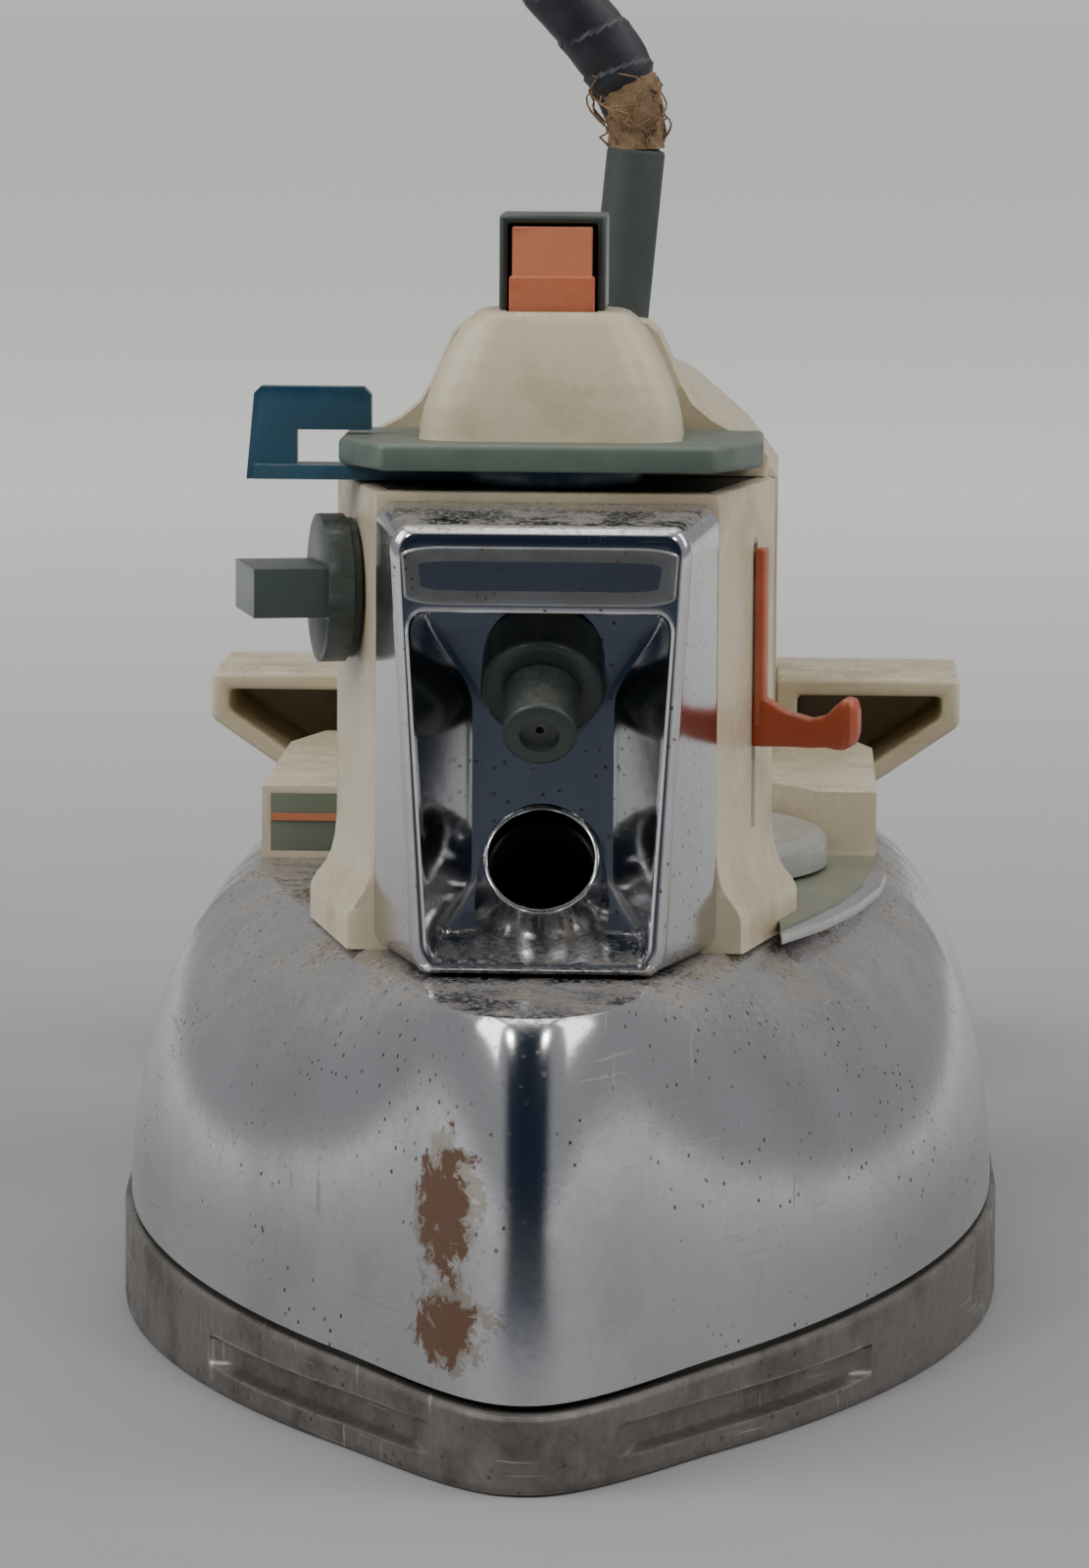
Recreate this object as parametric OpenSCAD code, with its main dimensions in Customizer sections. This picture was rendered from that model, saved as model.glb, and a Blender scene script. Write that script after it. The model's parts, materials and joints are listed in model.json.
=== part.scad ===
// Spray and steam iron: chrome hull on an aluminium soleplate, with a cream handle on a front column.
// Nose at -Y, heel at +Y, soleplate on z = 0. Modules are drawn with y counted from the nose.

/* [Overall] */
// Length from the nose to the back of the heel
length = 228; // [196:1:280]
// Width of the soleplate at its widest
width = 111; // [92:1:134]
// Height of the shell's flat deck above the table
deck_z = 52; // [50:1:60]
// Height of the top plate's upper face above the table
plate_z = 111.8; // [110:0.2:125]

/* [Soleplate] */
// Thickness of the soleplate at its widest point and behind it
sole_h = 13.4; // [12:0.2:15]
// Thickness of the soleplate at the nose
sole_nose_h = 9.2; // [8:0.2:11]
// Distance from the nose to the widest point
widest_y = 125; // [110:1:135]
// Overhang of the heel behind the soleplate
heel_overhang = 6; // [3:1:12]
// Radius of one steam vent
vent_r = 1.6; // [1:0.1:2.2]

/* [Shell] */
// Wall of the chrome shell
shell_wall = 1; // [0.8:0.1:1.4]
// Distance from the soleplate's edge to the deck's edge at the widest point
shoulder = 16; // [13:0.5:19]

/* [Filler] */
// Inner radius of the filler mouth
filler_r = 6.1; // [5:0.1:6.4]
// Wall of the filler tube
filler_wall = 0.7; // [0.6:0.1:1]
// Upward tilt of the filler mouth
filler_tilt = 30; // [26:1:34]

/* [Column] */
// Half width of the column at its front
col_front = 20; // [19:0.5:22]
// Half width of the column at its back
col_back = 26.4; // [25:0.2:28]
// Wall of the column
col_wall = 2.2; // [1.8:0.1:2.6]

/* [Pump] */
// Inner radius of the spray pump
pump_r = 5; // [4:0.1:5.6]
// Travel of the spray button
button_travel = 5; // [3:0.5:6]

/* [Controls] */
// Radius of the flow knob
knob_r = 8.85; // [8:0.05:10]
// Radius of the flow knob's shaft
shaft_r = 2.5; // [2:0.1:3]
// Radius of the thermostat dial
dial_r = 29.5; // [26:0.5:31]
// Radius of the thermostat stem
stem_r = 3; // [2.5:0.1:3.5]
// Radius of the steam rod
rod_r = 1.5; // [1.2:0.1:1.8]
// Travel of the steam slider below its resting place
slide_down = 9; // [5:0.5:10]
// Travel of the steam slider above its resting place
slide_up = 4; // [2:0.5:4]
// Radial clearance of turning and sliding fits
run_fit = 0.05; // [0.03:0.01:0.08]
// Gap between pieces that pass each other
gap = 0.4; // [0.3:0.05:0.6]

/* [Handle] */
// Half width of the hand grip
grip_w = 13.5; // [12:0.5:15]
// Height of the hand grip's section
grip_h = 25; // [20:0.5:27]
// Half width across the heel wings
heel_w = 52; // [46:1:55]

/* [Cord] */
// Diameter of the mains cord
cord_d = 7; // [6.5:0.1:7.2]
// Radius of the cord sleeve
sleeve_r = 3.95; // [3.8:0.05:4.4]

/* [Hidden] */
$fn = 48;
tiny = 0.01;
big = 400;

// Planes and places along the length, from the nose
sole_end = length - heel_overhang;
half_w = width / 2;
nose_power = 1.74;
heel_power = 5;
lean = 7.5;
arc_end = 78;
base_gap = 0.8;
deck_half = half_w - shoulder;
fascia_y = 36;
fascia_back = 58;
col_y = 58;
col_end = 88;
head_y = 84;
pump_y = 72;
dial_x = 4;
dial_y = 125;
post_y = length - 38;
post_front = post_y - 16;
block_y = dial_y + 12;
heel_y = length - 28;

// Heights
boss_z = 18;
cover_h = 2;
tank_z = boss_z + cover_h + 3.6;
lid_z = deck_z - 5.5;
lid_h = 1.5;
top_h = 3.2;
gap_h = 1.2;
top_bottom = plate_z - top_h;
lever_low_h = 1.7;
ledge_z = top_bottom - lever_low_h - 2 * gap;
fascia_top = ledge_z - 1.2;
knob_z = 93.4;
slot_low = 64.8;
slot_high = 98.9;
slider_z = 77.7;
filler_z = 64.4;
nozzle_z = 86;
dome_h = 15;
button_top = plate_z + 25.2;
grip_top = plate_z + 9.5;
flank_tilt = atan2(col_back - col_front, 27);
function flank_x(y) = col_front + (col_back - col_front) * (y - col_y) / 27;
knob_y = 73;
slider_y = 75.7;
rod_x = 10;
drip_x = rod_x;
drip_y = slider_y;
drip_r = 2;
suction_y = pump_y + pump_r + 6;
suction_r = 1.5;
pump_wall = 1.5;
pump_out = pump_r + pump_wall;
column_screw_at = [[-17.5, 83.6], [17.5, 83.6]];
heel_screw_x = deck_half - 9.5;
heel_screw_at = [[-heel_screw_x, post_y - 22], [heel_screw_x, post_y - 22]];
tank_wall = 1.5;
tank_in = 18;
tank_back = 106;
dial_z = deck_z + 2;
dial_h = 4.2;
saddle_h = 1.2;
foot_h = 5;
foot_out = 3.2;
block_h = 9.5;
block_w = 39.8;
grip_end = post_y + 24;
function grip_top_z(y) = grip_top + 5.2 - 0.0635 * (y - 70);

// ---- outlines ----
tip_share = 1.5;
function nose_pt(a, t) = [(half_w - t) * pow(sin(a), nose_power),
  widest_y - (widest_y - tip_share * t) * cos(a)];
function heel_pt(b, t) = [(half_w - t) * pow(cos(b), 2 / heel_power),
  widest_y + (sole_end - t - widest_y) * pow(sin(b), 2 / heel_power)];
nose_steps = [for (a = [6 : 7 : 83]) a];
heel_steps = [0, 1, 5, 14, 28, 45, 62, 76, 85];
function right_edge_in(t) = concat([for (a = nose_steps) nose_pt(a, t)],
  [for (b = heel_steps) heel_pt(b, t)]);
right_edge = right_edge_in(0);
function mirrored(p) = [for (i = [len(p) - 1 : -1 : 0]) [-p[i][0], p[i][1]]];
function closed(p, front, back) = concat([[0, front]], p, [[0, back]], mirrored(p));
// The soleplate's outline, moved in by t
function outline(t) = closed(right_edge_in(t), tip_share * t, sole_end - t);

// A point list moved inwards by t, along each point's own normal
function unit(v) = v / norm(v);
function inward(p, t) = [for (i = [0 : len(p) - 1])
  let (d = unit(p[(i + 1) % len(p)] - p[(i + len(p) - 1) % len(p)])) p[i] + t * [-d[1], d[0]]];

// Half width of the deck at y, a straight wedge that runs out parallel
function wedge(y) = min(deck_half, 7.5 + (deck_half - 8.5) * (y - lean) / (widest_y - 10));
function ease(x) = x <= 0 ? 0 : x >= 1 ? 1 : x * x * (3 - 2 * x);
function deck_pt(i) = let (a = i < len(nose_steps) ? nose_steps[i] : 90,
  y = right_edge[i][1] + lean * (1 - ease((right_edge[i][1]) / 40)))
  i < len(nose_steps) ? [min(wedge(y), half_w) * pow(sin(min(90, a * 3.4)), 0.8), y]
  : [right_edge[i][0] * deck_half / half_w, widest_y + (right_edge[i][1] - widest_y) * rear_draw];
rear_draw = (sole_end - 12 - widest_y) / (sole_end - widest_y);
deck_right = [for (i = [0 : len(right_edge) - 1]) deck_pt(i)];
deck_line = closed(deck_right, lean, sole_end - 12);
shell_base = outline(base_gap);

// Height of the soleplate's sloped top at y
function sole_top(y) = y >= widest_y ? sole_h : sole_nose_h + (sole_h - sole_nose_h) * y / widest_y;

module at_nose() {
  translate([0, -length / 2, 0]) children();
}

// Everything below the soleplate's sloped top, raised by lift
module below_top(lift) {
  rise = (sole_h - sole_nose_h) / widest_y;
  translate([-big / 2, 0, 0]) rotate([90, 0, 90]) linear_extrude(big)
    polygon([[-20, -20], [big, -20], [big, sole_h + lift], [widest_y, sole_h + lift],
      [-20, sole_nose_h - 20 * rise + lift]]);
}

module ring_slice(outer, inner, z0, z1) {
  translate([0, 0, z0]) linear_extrude(z1 - z0) difference() {
    polygon(outline(outer));
    polygon(outline(inner));
  }
}

module tube(r, wall, h) {
  difference() {
    cylinder(r = r + wall, h = h);
    translate([0, 0, -1]) cylinder(r = r, h = h + 2);
  }
}

module rounded_box(size, r) {
  translate([-size[0] / 2 + r, -size[1] / 2 + r, 0]) linear_extrude(size[2])
    polygon([for (q = [0 : 3], a = [0 : 15 : 90])
      [(q == 0 || q == 3 ? size[0] - 2 * r : 0) + r * cos(a + 90 * q),
        (q < 2 ? size[1] - 2 * r : 0) + r * sin(a + 90 * q)]]);
}

// ---- base ----
heater_x = 22;
heater_r = 3;
heater_z = boss_z - 3.2;
heater_front = 62;
heater_end = 176;

module heater_path(r) {
  translate([0, heater_front, heater_z]) rotate([0, 0, 180]) rotate_extrude(angle = 180)
    translate([heater_x, 0]) circle(r);
  for (s = [-1, 1]) translate([s * heater_x, heater_front - tiny, heater_z]) rotate([-90, 0, 0])
    cylinder(r = r, h = heater_end - heater_front);
}

cover_screw_at = [[0, 20], [-12, 150], [12, 150]];
sole_screw_at = [[0, 30.5], [-30, sole_end - 40], [30, sole_end - 40]];

module soleplate() {
  color("#6e6c69") at_nose() difference() {
    union() {
      intersection() {
        linear_extrude(sole_h + 1) polygon(outline(0));
        below_top(0);
      }
      translate([0, 0, sole_nose_h - 1]) linear_extrude(boss_z - sole_nose_h + 1)
        polygon(outline(11));
    }
    // pocket that holds the tubular heater
    translate([0, heater_front, heater_z - heater_r]) rotate([0, 0, 180]) rotate_extrude(angle = 180)
      translate([heater_x - heater_r - run_fit, 0]) square([2 * (heater_r + run_fit), 10]);
    for (s = [-1, 1]) translate([s * heater_x - heater_r - gap / 2, heater_front - 1, heater_z - heater_r])
      cube([2 * heater_r + gap, heater_end - heater_front + 14, 10]);
    // steam chamber
    translate([-14, 66, 12]) cube([28, 70, 10]);
    translate([0, 0, 12]) linear_extrude(10) polygon([[-4, 28], [4, 28], [14, 66.1], [-14, 66.1]]);
    vents_to_chamber();
    button_grooves();
    for (p = cover_screw_at) translate([p[0], p[1], boss_z - 6]) cylinder(r = 1.5, h = 10);
    for (p = sole_screw_at) translate([p[0], p[1], boss_z - 8]) cylinder(r = 2, h = 12);
  }
}

// Vents run down from the steam chamber through the soleplate's face
module vents_to_chamber() {
  for (s = [-1, 1], i = [0 : 3]) translate([s * (6 + 1.6 * i), 48 + 16 * i, -1])
    cylinder(r = vent_r, h = 14);
  translate([0, 36, -1]) cylinder(r = vent_r, h = 14);
}

// Long slots in the edge that let the point slide under buttons
module button_grooves() {
  translate([0, 0, groove_z]) linear_extrude(groove_h) intersection() {
    difference() {
      polygon(outline(-6));
      polygon(outline(groove_depth));
    }
    translate([-half_w, groove_from]) square([width, groove_to - groove_from]);
  }
}
groove_z = 3;
groove_h = 3.8;
groove_depth = 2.2;
groove_from = 9;
groove_to = 52;

module heating_element() {
  color("#4a4744") at_nose() heater_path(heater_r);
}

module element_terminals() {
  color("silver") at_nose() for (s = [-1, 1]) translate([s * heater_x, heater_end, heater_z]) {
    rotate([-90, 0, 0]) cylinder(r = 2, h = 10);
    translate([0, 8, 0]) cylinder(r = 1.6, h = 14);
  }
}

module steam_chamber_cover() {
  color("#8a8884") at_nose() difference() {
    translate([0, 0, boss_z]) linear_extrude(cover_h)
      polygon([[-6, 15], [6, 15], [18, 62], [18, 154], [-18, 154], [-18, 62]]);
    for (p = cover_screw_at) translate([p[0], p[1], boss_z - 1]) cylinder(r = 1.6, h = 6);
    translate([0, 30.5, boss_z - 1]) cylinder(r = 2.2, h = 6);
    translate([drip_x, drip_y, boss_z - 1]) cylinder(r = drip_r, h = 6);
  }
}

module sole_gasket() {
  color("#2b2a29") at_nose() difference() {
    intersection() {
      ring_slice(1.6, 3.4, sole_nose_h - 1, sole_h + 2);
      below_top(0.8);
    }
    below_top(0);
  }
}

// ---- shell ----
function arc_mix(i, u, base, deck, z_low, z_high) =
  let (m = (1 - cos(u)) / (1 - cos(arc_end)), h = sin(u) / sin(arc_end))
  [base[i][0] + (deck[i][0] - base[i][0]) * m, base[i][1] + (deck[i][1] - base[i][1]) * m,
    z_low(base[i][1]) + (z_high - z_low(base[i][1])) * h];
shell_seam = 0.8;
arcs = [0, 18, 32, 44, 56, 67, arc_end];
function shell_ring(base, deck, u, z_high) =
  [for (i = [0 : len(base) - 1]) arc_mix(i, u, base, deck, function (y) sole_top(y) + shell_seam, z_high)];

// Closed thin wall between an outer and an inner stack of rings, with a flat top on each
module shell_solid() {
  n = len(shell_base);
  inner_base = outline(base_gap + shell_wall);
  inner_deck = inward(deck_line, shell_wall);
  outer = [for (u = arcs) shell_ring(shell_base, deck_line, u, deck_z)];
  inner = [for (u = arcs) shell_ring(inner_base, inner_deck, u, deck_z - shell_wall)];
  points = [for (ring = concat(outer, inner), p = ring) p];
  m = len(arcs);
  half = n / 2;
  function at(k, i) = k * n + i % n;
  polyhedron(points, concat(
    [for (k = [0 : m - 2], i = [0 : n - 1], t = [0, 1])
      t == 0 ? [at(k, i), at(k + 1, i), at(k + 1, i + 1)] : [at(k, i), at(k + 1, i + 1), at(k, i + 1)]],
    [for (k = [m : 2 * m - 2], i = [0 : n - 1], t = [0, 1])
      t == 0 ? [at(k, i), at(k + 1, i + 1), at(k + 1, i)] : [at(k, i), at(k, i + 1), at(k + 1, i + 1)]],
    [for (i = [0 : n - 1], t = [0, 1])
      t == 0 ? [at(0, i), at(0, i + 1), at(m, i + 1)] : [at(0, i), at(m, i + 1), at(m, i)]],
    [for (i = [0 : half - 1]) i == 0 ? [at(m - 1, n - 1), at(m - 1, 1), at(m - 1, 0)]
      : i == half - 1 ? [at(m - 1, n - i), at(m - 1, half), at(m - 1, i)]
      : [at(m - 1, n - i), at(m - 1, n - i - 1), at(m - 1, i + 1), at(m - 1, i)]],
    [for (i = [0 : half - 1]) i == 0 ? [at(2 * m - 1, 0), at(2 * m - 1, 1), at(2 * m - 1, n - 1)]
      : i == half - 1 ? [at(2 * m - 1, i), at(2 * m - 1, half), at(2 * m - 1, n - i)]
      : [at(2 * m - 1, i), at(2 * m - 1, i + 1), at(2 * m - 1, n - i - 1), at(2 * m - 1, n - i)]]));
}

module chrome_shell() {
  color("#c9ccd2") at_nose() difference() {
    shell_solid();
    filler_axis() translate([0, 0, -60]) cylinder(r = filler_r + filler_wall + gap, h = 60);
    translate([dial_x, dial_y, deck_z - 4]) cylinder(r = stem_r + 1, h = 8);
    at_rod() cylinder(r = rod_r + gap, h = big);
    translate([0, suction_y, deck_z - 4]) cylinder(r = suction_r + gap, h = 8);
    for (p = column_screw_at) translate([p[0], p[1], deck_z - 4]) cylinder(r = 1.7, h = 8);
    for (p = heel_screw_at) translate([p[0], p[1], deck_z - 4]) cylinder(r = 1.7, h = 8);
    translate([0, post_y, deck_z - 4]) cylinder(r = 5, h = 8);
  }
}

module filler_axis() {
  translate([0, 46, filler_z]) rotate([90 - filler_tilt, 0, 0]) children();
}

module at_rod() {
  translate([rod_x, slider_y, 0]) children();
}

// ---- water ----
module tank_plan(t) {
  intersection() {
    polygon(outline(tank_in + t));
    translate([-half_w, 0]) square([width, tank_back - t]);
  }
}

fill_out = filler_r + filler_wall;

module water_tank() {
  color("#b9b6a8") at_nose() difference() {
    translate([0, 0, tank_z]) linear_extrude(lid_z - tank_z) tank_plan(0);
    translate([0, 0, tank_z + tank_wall]) linear_extrude(lid_z) tank_plan(tank_wall);
    at_rod() translate([0, 0, tank_z - 1]) cylinder(r = drip_r, h = 4);
  }
}

module tank_lid() {
  color("#a9a698") at_nose() difference() {
    translate([0, 0, lid_z]) linear_extrude(lid_h) tank_plan(0);
    filler_axis() translate([0, 0, -60]) cylinder(r = fill_out, h = 60);
    at_rod() translate([0, 0, lid_z - 1]) cylinder(r = rod_r + gap, h = 4);
    translate([0, suction_y, lid_z - 1]) cylinder(r = suction_r, h = 4);
  }
}

// Short spout that leads the drip from the tank into the steam chamber
module drip_seat() {
  color("#b08d57") at_nose() at_rod() difference() {
    union() {
      translate([0, 0, boss_z + cover_h]) cylinder(r = drip_r + 1.5, h = tank_z - boss_z - cover_h);
      translate([0, 0, tank_z]) cylinder(r = drip_r, h = tank_wall);
    }
    translate([0, 0, boss_z]) cylinder(r = rod_r - 0.3, h = 10);
  }
}

module fill_tube() {
  color("#caccd0") at_nose() filler_axis() translate([0, 0, -35]) tube(filler_r, filler_wall, 36);
}

module suction_tube() {
  color("#d8d4c4") at_nose() {
    difference() {
      translate([0, suction_y, tank_z + tank_wall + 1.5])
        tube(suction_r - 0.6, 0.6, pump_low + 4 - tank_z - tank_wall - 1.5);
      translate([0, pump_y, pump_low + 2]) rotate([-90, 0, 0]) cylinder(r = 0.8, h = suction_y - pump_y);
    }
    translate([0, pump_y + pump_out, pump_low + 2]) rotate([-90, 0, 0])
      difference() {
        cylinder(r = 1.4, h = suction_y - pump_y - pump_out - 1.2);
        translate([0, 0, -1]) cylinder(r = 0.8, h = 10);
      }
  }
}

// ---- fascia ----
module post8(front, back, r) {
  hull() for (p = concat(front, back)) translate([p[0], p[1], p[2]]) rotate([-90, 0, 0])
    cylinder(r = r, h = 0.2, $fn = 32);
}

function slab(w_top, w_low, y, z_low, z_top, r) = [[-w_top + r, y, z_top - r], [w_top - r, y, z_top - r],
  [w_low - r, y, z_low + r], [-w_low + r, y, z_low + r]];

recess_back = 49;
fascia_low = deck_z + 0.3;

module fascia() {
  color("#c4c8d0") at_nose() difference() {
    union() {
      difference() {
        post8(slab(17.4, 14.4, fascia_y, fascia_low, fascia_top - 1, 1.6),
          slab(col_front, col_front, fascia_back - 0.2, fascia_low, fascia_top, 1.6), 1.6);
        post8(slab(15.9, 15, fascia_y - 1, fascia_top - 12.5, fascia_top - 3, 1.4),
          slab(15.5, 14.6, fascia_y + 1.4, fascia_top - 12.5, fascia_top - 3.4, 1.4), 1.4);
        post8(slab(15.4, 12.6, fascia_y - 1, fascia_low + 1.8, fascia_top - 10.5, 2),
          slab(13.2, 10.8, recess_back, fascia_low + 4, fascia_top - 13, 2), 2);
        translate([-14, recess_back + 2, fascia_low + 4])
          cube([28, fascia_back - recess_back, fascia_top - fascia_low - 10]);
      }
      filler_axis() translate([0, 0, -6]) cylinder(r = fill_out + 0.8, h = 6.5);
      nozzle_axis() cylinder(r = 7.2, h = 8);
    }
    filler_axis() translate([0, 0, -40]) cylinder(r = fill_out, h = 60);
    nozzle_axis() translate([0, 0, -20]) cylinder(r = 5, h = 40);
  }
}

module nozzle_axis() {
  translate([0, recess_back + 1, nozzle_z + 1.5]) rotate([90 + 32, 0, 0]) children();
}

module spray_nozzle() {
  color("#3c4a46") at_nose() nozzle_axis() difference() {
    union() {
      cylinder(r = 5, h = 8);
      translate([0, 0, 8]) cylinder(r = 6.2, h = 1.6);
    }
    translate([0, 0, -1]) cylinder(r = 3, h = 12);
  }
}

module nozzle_tip() {
  color("#46564f") at_nose() nozzle_axis() difference() {
    union() {
      translate([0, 0, 2]) cylinder(r = 3, h = 8);
      translate([0, 0, 9.6]) cylinder(r = 3.95, h = 5);
    }
    translate([0, 0, 1]) cylinder(r = 0.5, h = 14);
    translate([0, 0, 13.8]) cylinder(r = 2.2, h = 2);
  }
}

module spray_pipe() {
  color("#d8d4c4") at_nose() difference() {
    translate([0, recess_back + 4, nozzle_z + 3]) rotate([-90, 0, 0])
      tube(0.8, 0.8, pump_y - pump_out - recess_back - 4 + 0.5);
    translate([0, pump_y, pump_low]) cylinder(r = pump_out, h = 30);
  }
}

// ---- column ----
col_plan = [[-col_front, col_y], [col_front, col_y], [col_back, col_y + 27], [col_back, col_end],
  [-col_back, col_end], [-col_back, col_y + 27]];

module column_foot(t, z, h) {
  translate([0, 0, z]) linear_extrude(h) polygon(inward(col_plan, -t));
}

// Frame on a flank at y and z, with its own -Y pointing straight out of the wall
module on_flank(side, y, z) {
  translate([side * flank_x(y), y, z]) rotate([0, 0, side * (90 - flank_tilt)]) children();
}

module front_column() {
  color("#c9c0a6") at_nose() difference() {
    union() {
      column_foot(0, deck_z + foot_h, ledge_z - deck_z - foot_h);
      difference() {
        union() {
          column_foot(foot_out, deck_z, foot_h);
          for (i = [0 : 3]) column_foot(foot_out * (1 - sin(18 * (i + 1))), deck_z + foot_h + i, 1);
        }
        translate([-50, col_y - 10, deck_z - 1]) cube([100, 10, 20]);
      }
    }
    difference() {
      translate([0, 0, deck_z - 1]) linear_extrude(ledge_z - gap_h - 1.2 - deck_z + 1)
        polygon(inward(col_plan, col_wall));
      for (p = column_screw_at) translate([p[0], p[1], deck_z - 2]) cylinder(r = 3, h = 16);
    }
    for (p = column_screw_at) translate([p[0], p[1], deck_z - 2]) cylinder(r = 1.3, h = 13);
    translate([-14, col_y - 1, deck_z + 2]) cube([28, col_wall + 2, ledge_z - deck_z - 12]);
    translate([-13, col_y - 1, deck_z - 1]) cube([26, col_wall + 2, 5]);
    translate([0, 0, ledge_z - gap_h]) linear_extrude(5) polygon(inward(col_plan, 2.4));
    translate([0, pump_y, 60]) cylinder(r = pump_out, h = 60);
    on_flank(-1, knob_y, knob_z) rotate([90, 0, 0]) translate([0, 0, -10])
      cylinder(r = shaft_r + run_fit, h = 20);
    on_flank(1, slider_y, 0) translate([-slot_w / 2, -3, slot_low]) cube([slot_w, 10, slot_high - slot_low]);
    for (s = [-1, 1]) translate([s * 14 - 4, col_y + 6, ledge_z]) cube([8, 10, 4]);
  }
}

slot_w = 1.9;

module gap_plate() {
  color("#232a2a") at_nose() difference() {
    translate([0, 0, ledge_z - gap_h]) linear_extrude(gap_h) polygon(inward(col_plan, 2.4));
    translate([0, pump_y, 60]) cylinder(r = pump_out, h = 60);
  }
}

// ---- pump ----
pump_low = 82;
pump_high = top_bottom;
button_low = plate_z + 12.5;

module pump_cylinder() {
  color("#d5d0bf") at_nose() difference() {
    translate([0, pump_y, pump_low]) cylinder(r = pump_out, h = pump_high - pump_low);
    translate([0, pump_y, pump_low + 1.5]) cylinder(r = pump_r, h = 60);
    translate([0, pump_y - 10, nozzle_z + 3]) rotate([-90, 0, 0]) cylinder(r = 0.8, h = 10);
    translate([0, pump_y, pump_low + 2]) rotate([-90, 0, 0]) cylinder(r = 0.8, h = 10);
    on_flank(-1, knob_y, knob_z) rotate([90, 0, 0]) translate([0, 0, -21]) cylinder(r = 0.7, h = 8);
  }
}

piston_z = pump_high - 8;
module pump_piston() {
  color("#8f8a7c") at_nose() translate([0, pump_y, 0]) {
    translate([0, 0, piston_z]) cylinder(r = pump_r - run_fit, h = 4);
    translate([0, 0, piston_z + 4]) cylinder(r = 2, h = button_low + 2 - piston_z - 4);
  }
}

spring_turns = 5;
spring_r = pump_r - 1.4;
wire_r = 0.45;
spring_low = pump_low + 1.5 + 3.2;
function spring_pt(k) = [spring_r * cos(k * 24), spring_r * sin(k * 24),
  spring_low + wire_r + (piston_z - spring_low - 2 * wire_r) * k / (15 * spring_turns)];

// Skin over a stack of rings that all have n points, with flat ends
module loft(rings, n) {
  last = len(rings) - 1;
  polyhedron([for (ring = rings, p = ring) p], concat([[for (j = [n - 1 : -1 : 0]) j]],
    [[for (j = [0 : n - 1]) last * n + j]],
    [for (i = [0 : last - 1], j = [0 : n - 1]) let (a = i * n + j, b = i * n + (j + 1) % n)
      each [[a, b, b + n], [a, b + n, a + n]]]));
}

// Round tube around a list of points
function heading(p, i) = unit(p[min(i + 1, len(p) - 1)] - p[max(i - 1, 0)]);
module sweep(path, r, sides, across) {
  loft([for (i = [0 : len(path) - 1]) let (t = heading(path, i), u = unit(cross(t, across)), v = cross(u, t))
    [for (j = [0 : sides - 1]) path[i] + r * (cos(360 * j / sides) * u + sin(360 * j / sides) * v)]], sides);
}

module pump_spring() {
  color("silver") at_nose() translate([0, pump_y, 0])
    sweep([for (k = [0 : 15 * spring_turns]) spring_pt(k)], wire_r, 6, [0, 0, 1]);
}

// ---- top ----
module top_plate() {
  color("#505f55") at_nose() difference() {
    translate([0, 0, top_bottom]) linear_extrude(top_h)
      polygon([[-19.5, 55], [19.5, 55], [25, 66], [25, head_y], [-25, head_y], [-25, 66]]);
    translate([0, pump_y, 60]) cylinder(r = 2 + gap, h = 80);
  }
}

module button_dome() {
  color("#c6bda4") at_nose() difference() {
    hull() {
      translate([0, pump_y, plate_z]) rounded_box([30.6, 23.2, 2], 6);
      translate([0, pump_y, plate_z + dome_h - 2]) rounded_box([19, 17, 2], 4);
    }
    translate([0, pump_y, plate_z - 1]) cylinder(r = 2 + gap, h = 30);
    translate([-5.3, pump_y - 7, button_low - button_travel - gap]) cube([10.6, 13.4, 20]);
  }
}

// Upright hood that shields the button from behind and both sides
guard_top = plate_z + 26.2;
module button_guard() {
  color("#34423c") at_nose() difference() {
    translate([-6.3, pump_y - 4, plate_z + dome_h]) cube([12.6, 12, guard_top - plate_z - dome_h]);
    translate([-5.3, pump_y - 5, plate_z + dome_h - 1]) cube([10.6, 11.4, guard_top - plate_z - dome_h]);
  }
}

module spray_button() {
  color("#be5532") at_nose() difference() {
    union() {
      translate([-5, pump_y - 6.6, button_low]) cube([10, 12.6, 6.5]);
      translate([-4.7, pump_y - 5.8, button_low + 6.5]) cube([9.4, 11.8, button_top - button_low - 6.9]);
    }
    translate([0, pump_y, button_low - 1]) cylinder(r = 2, h = 3);
  }
}

module lever_collar() {
  color("#8f8a7c") at_nose() translate([0, pump_y, ledge_z]) difference() {
    cylinder(r = pump_out + 1.4, h = top_bottom - ledge_z);
    translate([0, 0, -1]) cylinder(r = pump_out, h = 6);
  }
}

lever_x = 36.3;
module selector_lever() {
  low = ledge_z + gap;
  color("#19465f") at_nose() translate([0, pump_y, 0]) {
    translate([0, 0, low]) difference() {
      union() {
        cylinder(r = pump_out + 4.4, h = lever_low_h);
        translate([-lever_x + 1, -3, 0]) cube([lever_x - pump_out - 3, 6, lever_low_h]);
      }
      translate([0, 0, -1]) cylinder(r = pump_out + 1.4 + run_fit, h = 6);
    }
    translate([0, 1.4, 0]) rotate([90, 0, 0]) linear_extrude(2.8)
      polygon([[-lever_x, low - 0.1], [-30.3, low - 0.1], [-30.3, plate_z + gap + 0.1],
        [-21.5, plate_z + gap + 0.1], [-21.5, plate_z + 4.6], [-22.4, plate_z + 5.6],
        [-34.6, plate_z + 5.6], [-35.4, plate_z + 4.8]]);
  }
}

// ---- flow knob ----
module flow_knob() {
  color("#4d5d53") at_nose() on_flank(-1, knob_y, knob_z) rotate([90, 0, 0]) difference() {
    union() {
      translate([0, 0, gap]) cylinder(r = knob_r - 0.5, h = 1);
      translate([0, 0, gap + 1]) cylinder(r = knob_r, h = 3);
      translate([-knob_r + 1.5, -2.9, 4]) cube([2 * knob_r - 3, 5.8, 9.2]);
    }
    translate([0, 0, -1]) cylinder(r = shaft_r, h = 4);
  }
}

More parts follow.
